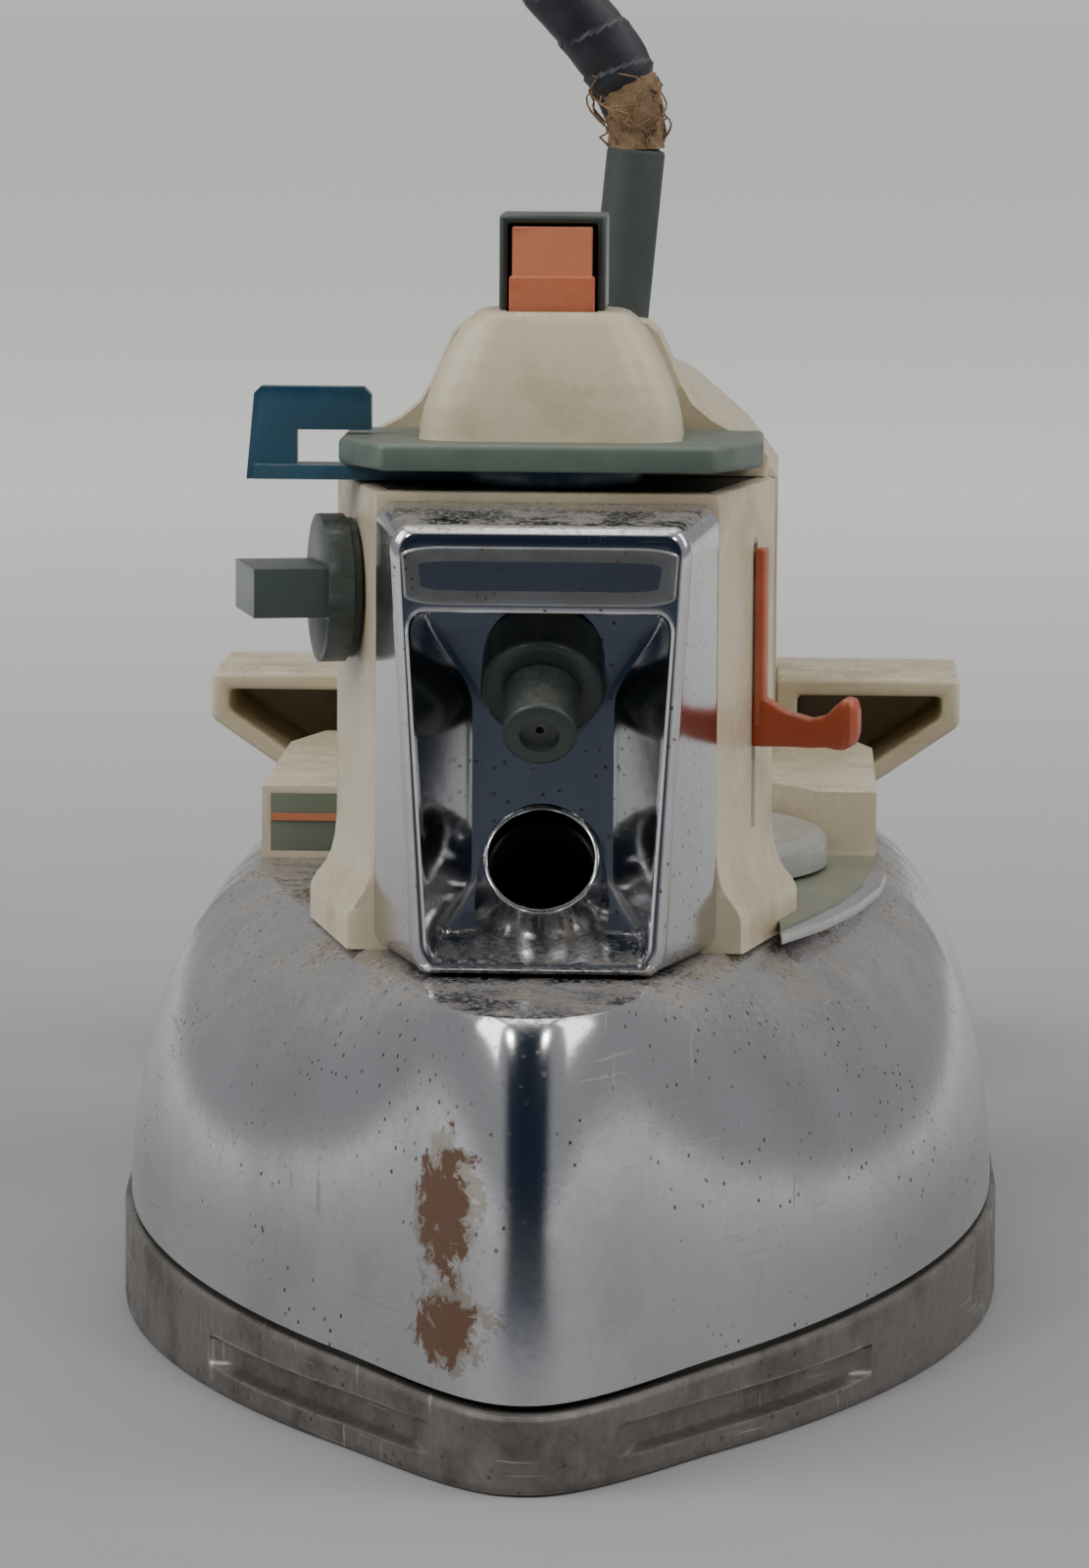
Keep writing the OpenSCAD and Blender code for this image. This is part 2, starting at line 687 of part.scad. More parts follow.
module knob_shaft() {
  color("#b5b1a6") at_nose() on_flank(-1, knob_y, knob_z) rotate([90, 0, 0]) difference() {
    translate([0, 0, -8]) cylinder(r = shaft_r, h = 11);
    translate([0, 0, -9]) cylinder(r = 1.2 + gap, h = 8);
  }
}

module valve_needle() {
  color("#b08d57") at_nose() on_flank(-1, knob_y, knob_z) rotate([90, 0, 0]) {
    translate([0, 0, -13]) cylinder(r = 1.2, h = 10);
    translate([0, 0, -14.6]) cylinder(r1 = 0.3, r2 = 1.2, h = 1.6 + tiny);
  }
}

module needle_seat() {
  color("#a58552") at_nose() difference() {
    on_flank(-1, knob_y, knob_z) rotate([90, 0, 0]) translate([0, 0, -19]) cylinder(r = 3.6, h = 8);
    on_flank(-1, knob_y, knob_z) rotate([90, 0, 0]) translate([0, 0, -16]) cylinder(r = 1.2 + gap, h = 10);
    on_flank(-1, knob_y, knob_z) rotate([90, 0, 0]) translate([0, 0, -21]) cylinder(r = 0.7, h = 8);
    translate([0, pump_y, 60]) cylinder(r = pump_out, h = 60);
  }
}

// ---- steam slider ----
strip_in = col_wall + gap;
module steam_slider() {
  color("#c0592f") at_nose() {
    on_flank(1, slider_y, slider_z) {
      // lever through the slot, with a rounded thumb piece on its end
      translate([-slot_w / 2 + gap, -9, -3.2]) cube([slot_w - 2 * gap, strip_in + 9.2, 6.4]);
      translate([-2.2, -12.6, -3.3]) cube([4.4, 4, 6.6]);
      // strip behind the slot
      translate([-2, strip_in, -3.3]) cube([4, 1.2, slot_high - slider_z + 3.3]);
    }
  }
}

// Cranked rod that hangs from the strip and closes the drip seat when it is lowered
module steam_rod() {
  color("#cdb9a4") at_nose() {
    at_rod() {
      translate([0, 0, seat_z + slide_down]) cylinder(r1 = rod_r - 0.4, r2 = rod_r, h = 1);
      translate([0, 0, seat_z + slide_down + 1 - tiny])
        cylinder(r = rod_r, h = crank_z + 2 - seat_z - slide_down - 1 + tiny);
    }
    translate([rod_x, slider_y - 1.5, crank_z]) cube([flank_x(slider_y) - strip_in - rod_x - 2, 3, 3]);
    on_flank(1, slider_y, crank_z) translate([-1.5, strip_in + 1.2, 0]) cube([3, 1.4, slider_z - crank_z]);
  }
}
crank_z = slider_z - 12;
seat_z = tank_z + tank_wall + 0.3;

// Channel behind the slot that carries the strip
module slider_guide() {
  color("#cdb9a4") at_nose() on_flank(1, slider_y, 0) difference() {
    translate([-4, col_wall, slot_low - 1]) cube([8, 3.4, slot_high - slot_low + 4]);
    translate([-2 - gap, col_wall - 1, slot_low - 2]) cube([4 + 2 * gap, 1 + 2 * gap + 1.2, 60]);
    translate([-3.2, col_wall - 1, slot_low - 2]) cube([6.4, 6, slider_z + slide_up + 4 - slot_low]);
  }
}

// ---- handle ----
flare = [for (a = [0 : 15 : 75]) [11 + 14.4 * (1 - sin(a)), plate_z - 0.6 + 14 * (1 - cos(a))]];
module handle_grip() {
  color("#c8bfa5") at_nose() {
    translate([0, col_end + 3, 0]) rotate([90, 0, 0]) linear_extrude(col_end + 3 - head_y)
      polygon(concat([[25.4, ledge_z]], flare, [[9.5, plate_z + 12.6], [-9.5, plate_z + 12.6]],
        [for (i = [len(flare) - 1 : -1 : 0]) [-flare[i][0], flare[i][1]]], [[-25.4, ledge_z]]));
    grip_loft();
  }
}

function super(c, e) = (c < 0 ? -1 : 1) * pow(abs(c), 2 / e);
function grip_ring(y, w, low, high) = [for (a = [0 : 15 : 345])
  [w * super(cos(a), 3), y, (low + high) / 2 + (high - low) / 2 * super(sin(a), 3)]];

module grip_loft() {
  start = col_end;
  loft([for (i = [0 : 6]) let (y = start + (post_front - start) * i / 6, top = grip_top_z(y) - 3.6)
    grip_ring(y, grip_w, top - grip_h, top)], 24);
}

post_low = deck_z + block_h;
post_w = 26.5;
post_top = grip_top_z(post_front) - 3.6;
module rear_post() {
  color("#c5bca2") at_nose() difference() {
    intersection() {
      translate([-post_w, 0, 0]) rotate([90, 0, 90]) linear_extrude(2 * post_w)
        polygon([[post_front, post_low], [grip_end, post_low], [grip_end, post_top - 10],
          [grip_end - 6, post_top - 4], [post_front, post_top]]);
      translate([0, grip_end, 0]) rotate([90, 0, 0]) linear_extrude(grip_end)
        polygon([[-post_w, post_low], [post_w, post_low], [post_w, post_top - 17],
          [post_w - 4, post_top - 11.5],
          [10, post_top], [-10, post_top], [4 - post_w, post_top - 11.5], [-post_w, post_top - 17]]);
    }
    translate([-post_w + 2.5, grip_end - 20, post_low - 1])
      cube([2 * post_w - 5, 60, post_top - post_low - 17]);
    sleeve_axis() translate([0, 0, -tiny]) cylinder(r = sleeve_r, h = 40);
    sleeve_axis() translate([0, 0, -8]) cylinder(r = cord_d / 2 - 0.2, h = 9);
    rear_cord_way();
    for (s = [-1, 1]) translate([s * post_screw_x, post_front + 10, post_low - 1]) cylinder(r = 1.3, h = 14);
  }
}
post_screw_x = 18;

// Way for the cord between the sleeve and the room behind the cover
module rear_cord_way() {
  translate([sleeve_foot[0], post_y - 10, sleeve_foot[2] - 4.6]) rotate([-90, 0, 0])
    cylinder(r = cord_d / 2 - 0.6, h = 20);
}

module rear_cover() {
  color("#bfb69d") at_nose() difference() {
    translate([-post_w, grip_end, post_low + 0.4]) cube([2 * post_w, 2.4, post_top - post_low - 17.6]);
    for (s = [-1, 1]) translate([s * 16, grip_end - 1, post_low + 16]) rotate([-90, 0, 0])
      cylinder(r = 1.7, h = 6);
  }
}

module rear_block() {
  color("#c6bea6") at_nose() difference() {
    translate([0, 0, deck_z]) linear_extrude(block_h)
      polygon([[-block_w, block_y], [block_w, block_y], [block_w, heel_y - 14], [36, heel_y], [-36, heel_y],
        [-block_w, heel_y - 14]]);
    translate([dial_x, dial_y, deck_z - 1]) cylinder(r = dial_r + 1, h = 20);
    translate([-32, block_y + 30, deck_z - 1]) cube([64, heel_y - block_y - 34, block_h - 2]);
    for (p = heel_screw_at) translate([p[0], p[1], deck_z - 1]) cylinder(r = 1.3, h = 9);
    translate([0, post_y, deck_z]) cylinder(r = 5, h = 20);
    translate([-38.6, block_y - 1, deck_z + 1]) cube([9, 1.6, block_h - 2]);
  }
}

module index_label() {
  color("#5f6955") at_nose() translate([-38.6, block_y, deck_z + 1]) cube([9, 0.6, block_h - 2]);
}

module index_line() {
  color("#b4552f") at_nose() translate([-38.6, block_y - 0.3, deck_z + 5]) cube([9, 0.3, 0.9]);
}

module heel_rest() {
  color("#c2b9a0") at_nose() difference() {
    translate([0, length, 0]) rotate([90, 0, 0]) linear_extrude(length - heel_y)
      polygon([[-36, deck_z], [36, deck_z], [heel_w, deck_z + 11], [heel_w, deck_z + 17.6],
        [-heel_w, deck_z + 17.6], [-heel_w, deck_z + 11]]);
    for (s = [-1, 1]) translate([0, length - 2.5, 0]) rotate([90, 0, 0]) linear_extrude(60)
      polygon([[s * (post_w + 3), deck_z + 2.5], [s * 35.4, deck_z + 2.5],
        [s * (heel_w - 2.5), deck_z + 12.2],
        [s * (heel_w - 2.5), deck_z + 15.1], [s * (post_w + 3), deck_z + 15.1]]);
    translate([-post_w, heel_y - 1, post_low]) cube([2 * post_w, grip_end + 2.4 - heel_y + 1, 40]);
    translate([-post_w + 2.5, heel_y - 1, deck_z + 2.5]) cube([2 * post_w - 5, grip_end - heel_y, 30]);
  }
}

// ---- dial ----
saddle_line = [[-28, 66], [28, 66], [33, 78], [37, 92], [40, 108], [40.9, 120], [40.9, block_y],
  [-28, block_y]];
module saddle_cut() {
  column_foot(foot_out, deck_z - 1, foot_h);
  translate([0, 0, deck_z - 1]) linear_extrude(5) polygon([[-28, 60], [28, 60], [27, 90], [-28, 90]]);
  translate([dial_x, dial_y, deck_z - 1]) cylinder(r = stem_r + 1, h = 20);
  difference() {
    translate([-block_w, block_y, deck_z - 1]) cube([2 * block_w, 60, 5]);
    translate([dial_x, dial_y, deck_z - 2]) cylinder(r = dial_r + 1, h = 20);
  }
}

module saddle_plate() {
  color("#9a959a") at_nose() difference() {
    translate([0, 0, deck_z]) linear_extrude(saddle_h) polygon(saddle_line);
    saddle_cut();
  }
}

module saddle_inlay() {
  color("#5f6b57") at_nose() difference() {
    translate([0, 0, deck_z + saddle_h]) linear_extrude(0.3) polygon(inward(saddle_line, 2.2));
    saddle_cut();
  }
}

module thermostat_dial() {
  color("#a5a39c") at_nose() translate([dial_x, dial_y, dial_z]) rotate_extrude($fn = 96)
    polygon(concat([[0, 0], [dial_r, 0], [dial_r, dial_h - 1.8]],
      [for (a = [15 : 15 : 90]) [dial_r - 1.8 + 1.8 * cos(a), dial_h - 1.8 + 1.8 * sin(a)]],
      [[dial_r - 6, dial_h - 0.6], [0, dial_h - 0.6]]));
}

stem_low = boss_z + cover_h + 4;
module thermostat_stem() {
  color("#b5b1a6") at_nose() translate([dial_x, dial_y, stem_low])
    cylinder(r = stem_r, h = dial_z - stem_low);
}

module thermostat_body() {
  color("#8d5a3a") at_nose() difference() {
    translate([dial_x - 11, dial_y - 14, boss_z + cover_h]) cube([22, 28, 9]);
    translate([dial_x, dial_y, stem_low]) cylinder(r = stem_r + run_fit, h = 20);
  }
}

module bimetal_blade() {
  color("#a08b62") at_nose() translate([dial_x - 4, dial_y + 14, boss_z + cover_h]) cube([8, 14, 0.9]);
}

module terminal_block() {
  color("#3c3a38") at_nose() difference() {
    translate([-14, grip_end - 16, post_low + 1]) cube([28, 12, 10]);
    for (x = [-8, 0, 8]) translate([x, grip_end - 17, post_low + 6]) rotate([-90, 0, 0])
      cylinder(r = 2, h = 20);
  }
}

module cord_clamp() {
  color("#b5b1a6") at_nose() difference() {
    translate([-9, grip_end - 15, post_low + 11]) cube([18, 10, 8]);
    translate([0, grip_end - 10, post_low + 10]) cylinder(r = cord_d / 2, h = 12);
  }
}

// ---- screws ----
module screw(r, head_r, h) {
  cylinder(r = r, h = h);
  difference() {
    translate([0, 0, -2]) cylinder(r = head_r, h = 2);
    translate([-head_r, -0.35, -2.5]) cube([2 * head_r, 0.7, 1.3]);
  }
}

module sole_screws() {
  color("#8f8c88") at_nose() for (p = sole_screw_at) translate([p[0], p[1], boss_z - 8]) {
    cylinder(r = 2, h = p[0] == 0 ? 10 : 8);
    translate([0, 0, p[0] == 0 ? 10 : 8]) cylinder(r = 3.4, h = 2.2, $fn = 6);
  }
}

module cover_screws() {
  color("#8f8c88") at_nose() for (p = cover_screw_at) translate([p[0], p[1], boss_z + cover_h])
    rotate([180, 0, 0]) screw(1.5, 2.8, 7);
}

module column_screws() {
  color("#8f8c88") at_nose() for (p = column_screw_at) translate([p[0], p[1], deck_z - shell_wall])
    screw(1.3, 2.6, 11);
}

module heel_screws() {
  color("#8f8c88") at_nose() {
    for (p = heel_screw_at) translate([p[0], p[1], deck_z - shell_wall]) screw(1.3, 2.6, 8);
    for (s = [-1, 1]) translate([s * 16, grip_end + 2.4, post_low + 16]) rotate([90, 0, 0])
      screw(1.7, 2.8, 2.4);
  }
}

// ---- cord ----
// Route from the top of the sleeve to the coil, as steps behind the sleeve
sleeve_y = length / 2 - 48;
sleeve_top = [7, sleeve_y, 143];
sleeve_foot = [3.4, sleeve_y, 104];
route_steps = [[7, 0, 143], [6.5, 0, 150], [3, 0, 156], [-2, 0, 162], [-7, 1, 170], [-11, 4, 181],
  [-12, 11, 192],
  [-12, 21, 199], [-11, 32, 202], [-10, 43, 199], [-9, 53, 192], [-8, 60, 182], [-7, 63, 171],
  [-4, 64, 161], [1, 64, 153], [5, 64, 144], [5, 64, 134], [4, 64, 122], [3, 64, 108], [3, 65, 94],
  [3, 65, 80], [3, 66, 66], [4, 68, 52], [7, 72, 40], [13, 78, 29], [21, 85, 22]];
route = [for (p = route_steps) p + [0, sleeve_y, 0]];
braid_end = 1;
tape_end = 5;
coil_at = [0, sleeve_y + 118, 0];
coil_mid = 39;

module sleeve_axis() {
  at = sleeve_foot + [0, length / 2, 0];
  d = sleeve_top - sleeve_foot;
  translate(at) rotate([0, atan2(d[0], d[2]), 0]) children();
}
sleeve_len = norm(sleeve_top - sleeve_foot);

module cord_sleeve() {
  color("#3c4b46") at_nose() sleeve_axis() difference() {
    cylinder(r = sleeve_r, h = sleeve_len);
    translate([0, 0, -1]) cylinder(r = cord_d / 2 - 0.6, h = sleeve_len - 2);
  }
}

function part_of(p, a, b) = [for (i = [a : b]) p[i]];

module frayed_braid() {
  color("#785a3c") sweep([route[0], (route[0] + route[1]) / 2, route[1]], cord_d / 2 + 0.2, 12, [0, 1, 0]);
}

module tape_wrap() {
  color("#1c1e2a") sweep(part_of(route, braid_end, tape_end), cord_d / 2 + 1.1, 12, [1, 0, 0]);
}

module cord() {
  color("#20242c") sweep(part_of(route, tape_end, len(route) - 1), cord_d / 2, 8, [1, 0, 0]);
}

module cord_coil() {
  color("#20242c") translate(coil_at) rotate_extrude() translate([coil_mid - 1.6 * cord_d, 0])
    square([3.2 * cord_d, 2.7 * cord_d]);
}

// The plug lies on the coil, in line with its turns
plug_r = 9;
plug_at = coil_at + [-coil_mid, 0, 2.7 * cord_d + plug_r - 0.1];
module plug_body() {
  color("#26282c") translate(plug_at) rotate([90, 0, 0]) {
    translate([0, 0, -16]) cylinder(r = plug_r, h = 26);
    translate([0, 0, -25]) cylinder(r1 = 4.5, r2 = 7, h = 9 + tiny);
  }
}

module plug_pins() {
  color("silver") translate(plug_at - [0, 10, 0]) for (s = [-1, 1]) translate([s * 5, 0, 0])
    rotate([90, 0, 0]) cylinder(r = 2, h = 15);
}

soleplate();
heating_element();
element_terminals();
steam_chamber_cover();
sole_gasket();
chrome_shell();
water_tank();
tank_lid();
drip_seat();
fill_tube();
fascia();
spray_nozzle();
nozzle_tip();
spray_pipe();
front_column();
gap_plate();
top_plate();
button_dome();
button_guard();
spray_button();
pump_cylinder();
pump_piston();
pump_spring();
suction_tube();
selector_lever();
lever_collar();
flow_knob();
knob_shaft();
valve_needle();
needle_seat();
steam_slider();
slider_guide();
steam_rod();
handle_grip();
rear_post();
rear_block();
index_label();
index_line();
heel_rest();
rear_cover();
saddle_plate();
saddle_inlay();
thermostat_dial();
thermostat_stem();
thermostat_body();
bimetal_blade();
terminal_block();
cord_clamp();
cord_sleeve();
sole_screws();
cover_screws();
column_screws();
heel_screws();
frayed_braid();
tape_wrap();
cord();
cord_coil();
plug_body();
plug_pins();
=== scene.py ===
# %% [markdown]
# A steam and spray iron is a chrome hull on an aluminium soleplate, with a plastic handle on top.
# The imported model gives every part's place, so this file first loads it and only dresses what is there.
# Sizes below are in millimetres and count y from the nose, as a maker would measure them on the bench.

# %% Load the fixed frame
import bmesh
import bpy
import json
import math
import random
from mathutils import Matrix, Vector, noise

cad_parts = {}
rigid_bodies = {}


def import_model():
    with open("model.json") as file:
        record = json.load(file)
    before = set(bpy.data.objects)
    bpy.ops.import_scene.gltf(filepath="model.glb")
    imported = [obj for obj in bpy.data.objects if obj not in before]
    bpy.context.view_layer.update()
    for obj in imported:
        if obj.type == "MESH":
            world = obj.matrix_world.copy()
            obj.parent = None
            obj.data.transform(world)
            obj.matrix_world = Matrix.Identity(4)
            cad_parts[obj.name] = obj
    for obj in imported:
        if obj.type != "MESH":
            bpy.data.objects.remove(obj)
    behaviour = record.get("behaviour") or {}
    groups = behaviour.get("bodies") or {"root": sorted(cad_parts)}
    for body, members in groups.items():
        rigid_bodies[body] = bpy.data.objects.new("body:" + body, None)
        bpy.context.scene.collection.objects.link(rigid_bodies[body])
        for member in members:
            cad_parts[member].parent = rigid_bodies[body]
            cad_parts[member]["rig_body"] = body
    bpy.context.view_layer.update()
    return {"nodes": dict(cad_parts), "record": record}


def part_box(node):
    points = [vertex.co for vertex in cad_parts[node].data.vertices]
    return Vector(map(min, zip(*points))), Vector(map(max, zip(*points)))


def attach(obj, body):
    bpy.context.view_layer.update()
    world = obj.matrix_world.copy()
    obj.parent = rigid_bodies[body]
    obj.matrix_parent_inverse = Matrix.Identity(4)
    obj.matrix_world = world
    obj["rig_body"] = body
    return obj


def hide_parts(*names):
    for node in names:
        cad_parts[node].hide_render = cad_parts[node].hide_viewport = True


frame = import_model()
nodes = frame["nodes"]
MM = 0.001
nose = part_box("soleplate")[0].y / MM
print("frame:", len(nodes), "nodes, nose at", round(nose, 1), "mm")


def at(x, y, z):
    """A point given in millimetres from the nose, as a vector in metres."""
    return Vector((x, y + nose, z)) * MM


# %% [markdown]
# The view is from just above the nose with a long lens, so the near nose is only a little larger than the
# heel. A longer lens from further away would flatten the hull, and a shorter one would swell it.

# %% Camera
CAMERA_PLACE = (28.5, -700.0, 165.4)
CAMERA_YAW = 2.164
CAMERA_PITCH = 7.031
CAMERA_ROLL = 0.4
CAMERA_LENS = 149.68
camera = bpy.data.objects.new("camera", bpy.data.cameras.new("camera"))
bpy.context.scene.collection.objects.link(camera)
camera.data.sensor_width = 36
camera.data.lens = CAMERA_LENS
camera.data.clip_start = 0.05
camera.data.clip_end = 60
yaw = Matrix.Rotation(math.radians(CAMERA_YAW), 4, "Z")
pitch = Matrix.Rotation(math.radians(90 - CAMERA_PITCH), 4, "X")
roll = Matrix.Rotation(math.radians(CAMERA_ROLL), 4, "Z")
camera.matrix_world = Matrix.Translation(at(*CAMERA_PLACE)) @ yaw @ pitch @ roll
bpy.context.scene.camera = camera
print("camera at", [round(v, 3) for v in camera.matrix_world.translation])


# %% [markdown]
# Every smooth piece here is a skin: a flat grid whose two directions u and v are bent to the shape by a
# formula. It could be built ring by ring, but a grid needs no bookkeeping, and its seam and ends are closed
# afterwards by merging doubles and filling the holes that are left.

# %% Helpers that make and finish pieces
def finish_mesh(bm, name, body, slot, material, replaces=(), sharp=35, recalc=True):
    """Merges doubles, turns the faces outwards, marks sharp edges and hands the piece to its body."""
    bmesh.ops.remove_doubles(bm, verts=bm.verts, dist=2e-6)
    if recalc:
        bmesh.ops.recalc_face_normals(bm, faces=bm.faces)
    for face in bm.faces:
        face.smooth = True
    for edge in bm.edges:
        edge.smooth = len(edge.link_faces) == 2 and edge.calc_face_angle(0) < math.radians(sharp)
    mesh = bpy.data.meshes.new(name)
    bm.to_mesh(mesh)
    bm.free()
    piece = bpy.data.objects.new(name, mesh)
    bpy.context.scene.collection.objects.link(piece)
    mesh.materials.append(material)
    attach(piece, body)
    if replaces:
        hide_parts(*replaces)
    print(f"{name}: {len(mesh.polygons)} faces, stands for {list(replaces)}")
    return piece


def skin(bm, shape, across, along, fill=True):
    """Adds a grid bent by shape(u, v), with u round the piece and v along it, and fills its open ends."""
    made = bmesh.ops.create_grid(bm, x_segments=across, y_segments=along, size=1)["verts"]
    for vert in made:
        vert.co = at(*shape((vert.co.x + 1) / 2, (vert.co.y + 1) / 2))
    bmesh.ops.remove_doubles(bm, verts=made, dist=2e-6)
    if fill:
        rims = [e for e in bm.edges if e.is_boundary]
        bmesh.ops.holes_fill(bm, edges=rims, sides=0)


def round_off(bm, width, segments=3):
    """Bevels every edge that turns by more than 30 degrees, as a mould or a file would."""
    edges = [e for e in bm.edges if len(e.link_faces) == 2 and e.calc_face_angle(0) > math.radians(30)]
    bmesh.ops.bevel(bm, geom=edges, offset=width * MM, segments=segments, profile=0.5, material=-1,
                    affect="EDGES", clamp_overlap=True)


def ease(t):
    """A smooth step from 0 to 1."""
    t = min(max(t, 0.0), 1.0)
    return t * t * (3 - 2 * t)


def mix(a, b, t):
    return a + (b - a) * t


def shaded(piece):
    """The piece's mesh after its modifiers, kept as plain mesh."""
    found = piece.evaluated_get(bpy.context.evaluated_depsgraph_get())
    made = bpy.data.meshes.new_from_object(found)
    piece.modifiers.clear()
    old, piece.data = piece.data, made
    made.name = old.name
    bpy.data.meshes.remove(old)
    return piece


def cut(piece, cutters):
    """Cuts the given bmesh solids out of a piece, as a mill or a core pin in the mould would."""
    for bm in cutters:
        mesh = bpy.data.meshes.new("cutter")
        bmesh.ops.recalc_face_normals(bm, faces=bm.faces)
        bm.to_mesh(mesh)
        bm.free()
        tool = bpy.data.objects.new("cutter", mesh)
        bpy.context.scene.collection.objects.link(tool)
        step = piece.modifiers.new("cut", "BOOLEAN")
        step.operation, step.solver, step.object = "DIFFERENCE", "EXACT", tool
        shaded(piece)
        bpy.data.objects.remove(tool)
        bpy.data.meshes.remove(mesh)
    return piece


def box_solid(low, high, place=Matrix.Identity(4)):
    """A cutter box between two corners given in millimetres in the frame of place."""
    bm = bmesh.new()
    size = [(b - a) * MM for a, b in zip(low, high)]
    middle = [(a + b) / 2 * MM for a, b in zip(low, high)]
    bmesh.ops.create_cube(bm, size=1, matrix=place @ Matrix.Translation(middle) @ Matrix.Diagonal((*size, 1)))
    return bm


def rod_solid(radius, low, high, place):
    """A cutter rod along the Z axis of place, in millimetres."""
    bm = bmesh.new()
    middle = Matrix.Translation((0, 0, (low + high) / 2 * MM))
    bmesh.ops.create_cone(bm, cap_ends=True, segments=40, radius1=radius * MM, radius2=radius * MM,
                          depth=(high - low) * MM, matrix=place @ middle)
    return bm


def square(u, rounding):
    """A point on the unit square with rounded corners, u going once round it from the right side's middle."""
    side, corner = 1 - rounding, math.pi / 2 * rounding
    walk = (u % 1.0) * (8 * side + 4 * corner)
    for quarter in range(4):
        turn = quarter * math.pi / 2
        c, s = round(math.cos(turn)), round(math.sin(turn))
        for kind, span in (("up", side), ("corner", corner), ("across", side)):
            if walk <= span + 1e-9:
                if kind == "up":
                    p, q = 1.0, walk
                elif kind == "corner":
                    a = walk / max(rounding, 1e-9)
                    p, q = side + rounding * math.cos(a), side + rounding * math.sin(a)
                else:
                    p, q = side - walk, 1.0
                return c * p - s * q, s * p + c * q
            walk -= span
    return 1.0, 0.0


def steps(v, *stops):
    """Reads a list of (place, value...) stops at v, with straight runs between them."""
    for a, b in zip(stops, stops[1:]):
        if v <= b[0]:
            t = 0 if b[0] == a[0] else (v - a[0]) / (b[0] - a[0])
            return [mix(p, q, t) for p, q in zip(a[1:], b[1:])]
    return list(stops[-1][1:])


# %% [markdown]
# The mains cord is a round braided three-core lead. It leaves the sleeve at the top of the rear post, falls
# behind the handle, and its unseen length is wound into a neat coil behind the heel with the plug on top.
# Its middle line is built first, because a lead keeps its length however it is laid.

# %% The cord's middle line
ROUTE = [[7, 66, 143], [6.5, 66, 150], [3, 66, 156], [-2, 66, 162], [-7, 67, 170], [-11, 70, 181], [-12, 77, 192],
         [-12, 87, 199], [-11, 98, 202], [-10, 109, 199], [-9, 119, 192], [-8, 126, 182], [-7, 129, 171],
         [-4, 130, 161], [1, 130, 153], [5, 130, 144], [5, 130, 134], [4, 130, 122], [3, 130, 108], [3, 131, 94],
         [3, 131, 80], [3, 132, 66], [4, 134, 52], [7, 138, 40], [13, 144, 29], [21, 151, 22]]
COIL_MIDDLE = Vector((0, 184, 0))
# angle along the winding in degrees, radius and height of the lead's middle
WINDING = [(0, 39, 22), (70, 47.5, 19.5), (130, 50.5, 12), (200, 46, 3.5), (500, 46, 3.5), (560, 39, 3.5),
           (860, 39, 3.5), (920, 32, 3.5), (1150, 32, 3.5), (1190, 32.7, 7.4), (1225, 35.5, 9.9),
           (1520, 35.5, 9.9), (1580, 42.5, 9.9), (1860, 42.5, 9.9), (1930, 34, 16.2), (2200, 34, 16.2),
           (2290, 41, 23), (2350, 45.2, 27)]
PLUG_TIP = Vector((-39, 212, 27.8))
CORD_D = 7.0


def smooth_line(points, per_span):
    """A Catmull-Rom line through the points."""
    line = []
    for i in range(len(points) - 1):
        p0, p1, p2, p3 = (points[min(max(k, 0), len(points) - 1)] for k in (i - 1, i, i + 1, i + 2))
        for k in range(per_span):
            t = k / per_span
            line.append(0.5 * (2 * p1 + (p2 - p0) * t + (2 * p0 - 5 * p1 + 4 * p2 - p3) * t * t
                               + (3 * p1 - p0 - 3 * p2 + p3) * t * t * t))
    return line + [points[-1]]


def winding_point(angle):
    for a, b in zip(WINDING, WINDING[1:]):
        if angle <= b[0]:
            t = ease((angle - a[0]) / (b[0] - a[0]))
            r, z = mix(a[1], b[1], t), mix(a[2], b[2], t)
            break
    turn = math.radians(angle) + math.atan2(-33, 21)
    return COIL_MIDDLE + Vector((r * math.cos(turn), r * math.sin(turn), z))


route = [Vector(p) for p in ROUTE]
winding = [winding_point(a) for a in range(12, 2345, 12)]
tail = [Vector((-37.5, 221, 27.6)), PLUG_TIP, PLUG_TIP - Vector((0, 4, 0))]
middle = smooth_line(route[:-1], 4) + smooth_line([route[-1]] + winding + tail, 2)
middle = [p * MM for p in middle]
cord_length = sum((b - a).length for a, b in zip(middle, middle[1:]))
print("cord middle line:", len(middle), "points,", round(cord_length, 3), "m")

# %% [markdown]
# The iron stands on a plain table that runs on to a paler backdrop. One large disc is both, and its colour
# turns from the table's grey to the backdrop's with the distance, so that every side view keeps a clean ground.
# Chrome shows whatever is round it, so the surroundings are as much a part of its look as its own colour.

# %% Ground, surroundings and lights
scene = bpy.context.scene
bm = bmesh.new()
bmesh.ops.create_circle(bm, cap_ends=True, segments=96, radius=28)
bmesh.ops.inset_region(bm, faces=bm.faces, thickness=26)
mesh = bpy.data.meshes.new("table")
bm.to_mesh(mesh)
bm.free()
table = bpy.data.objects.new("table", mesh)
scene.collection.objects.link(table)


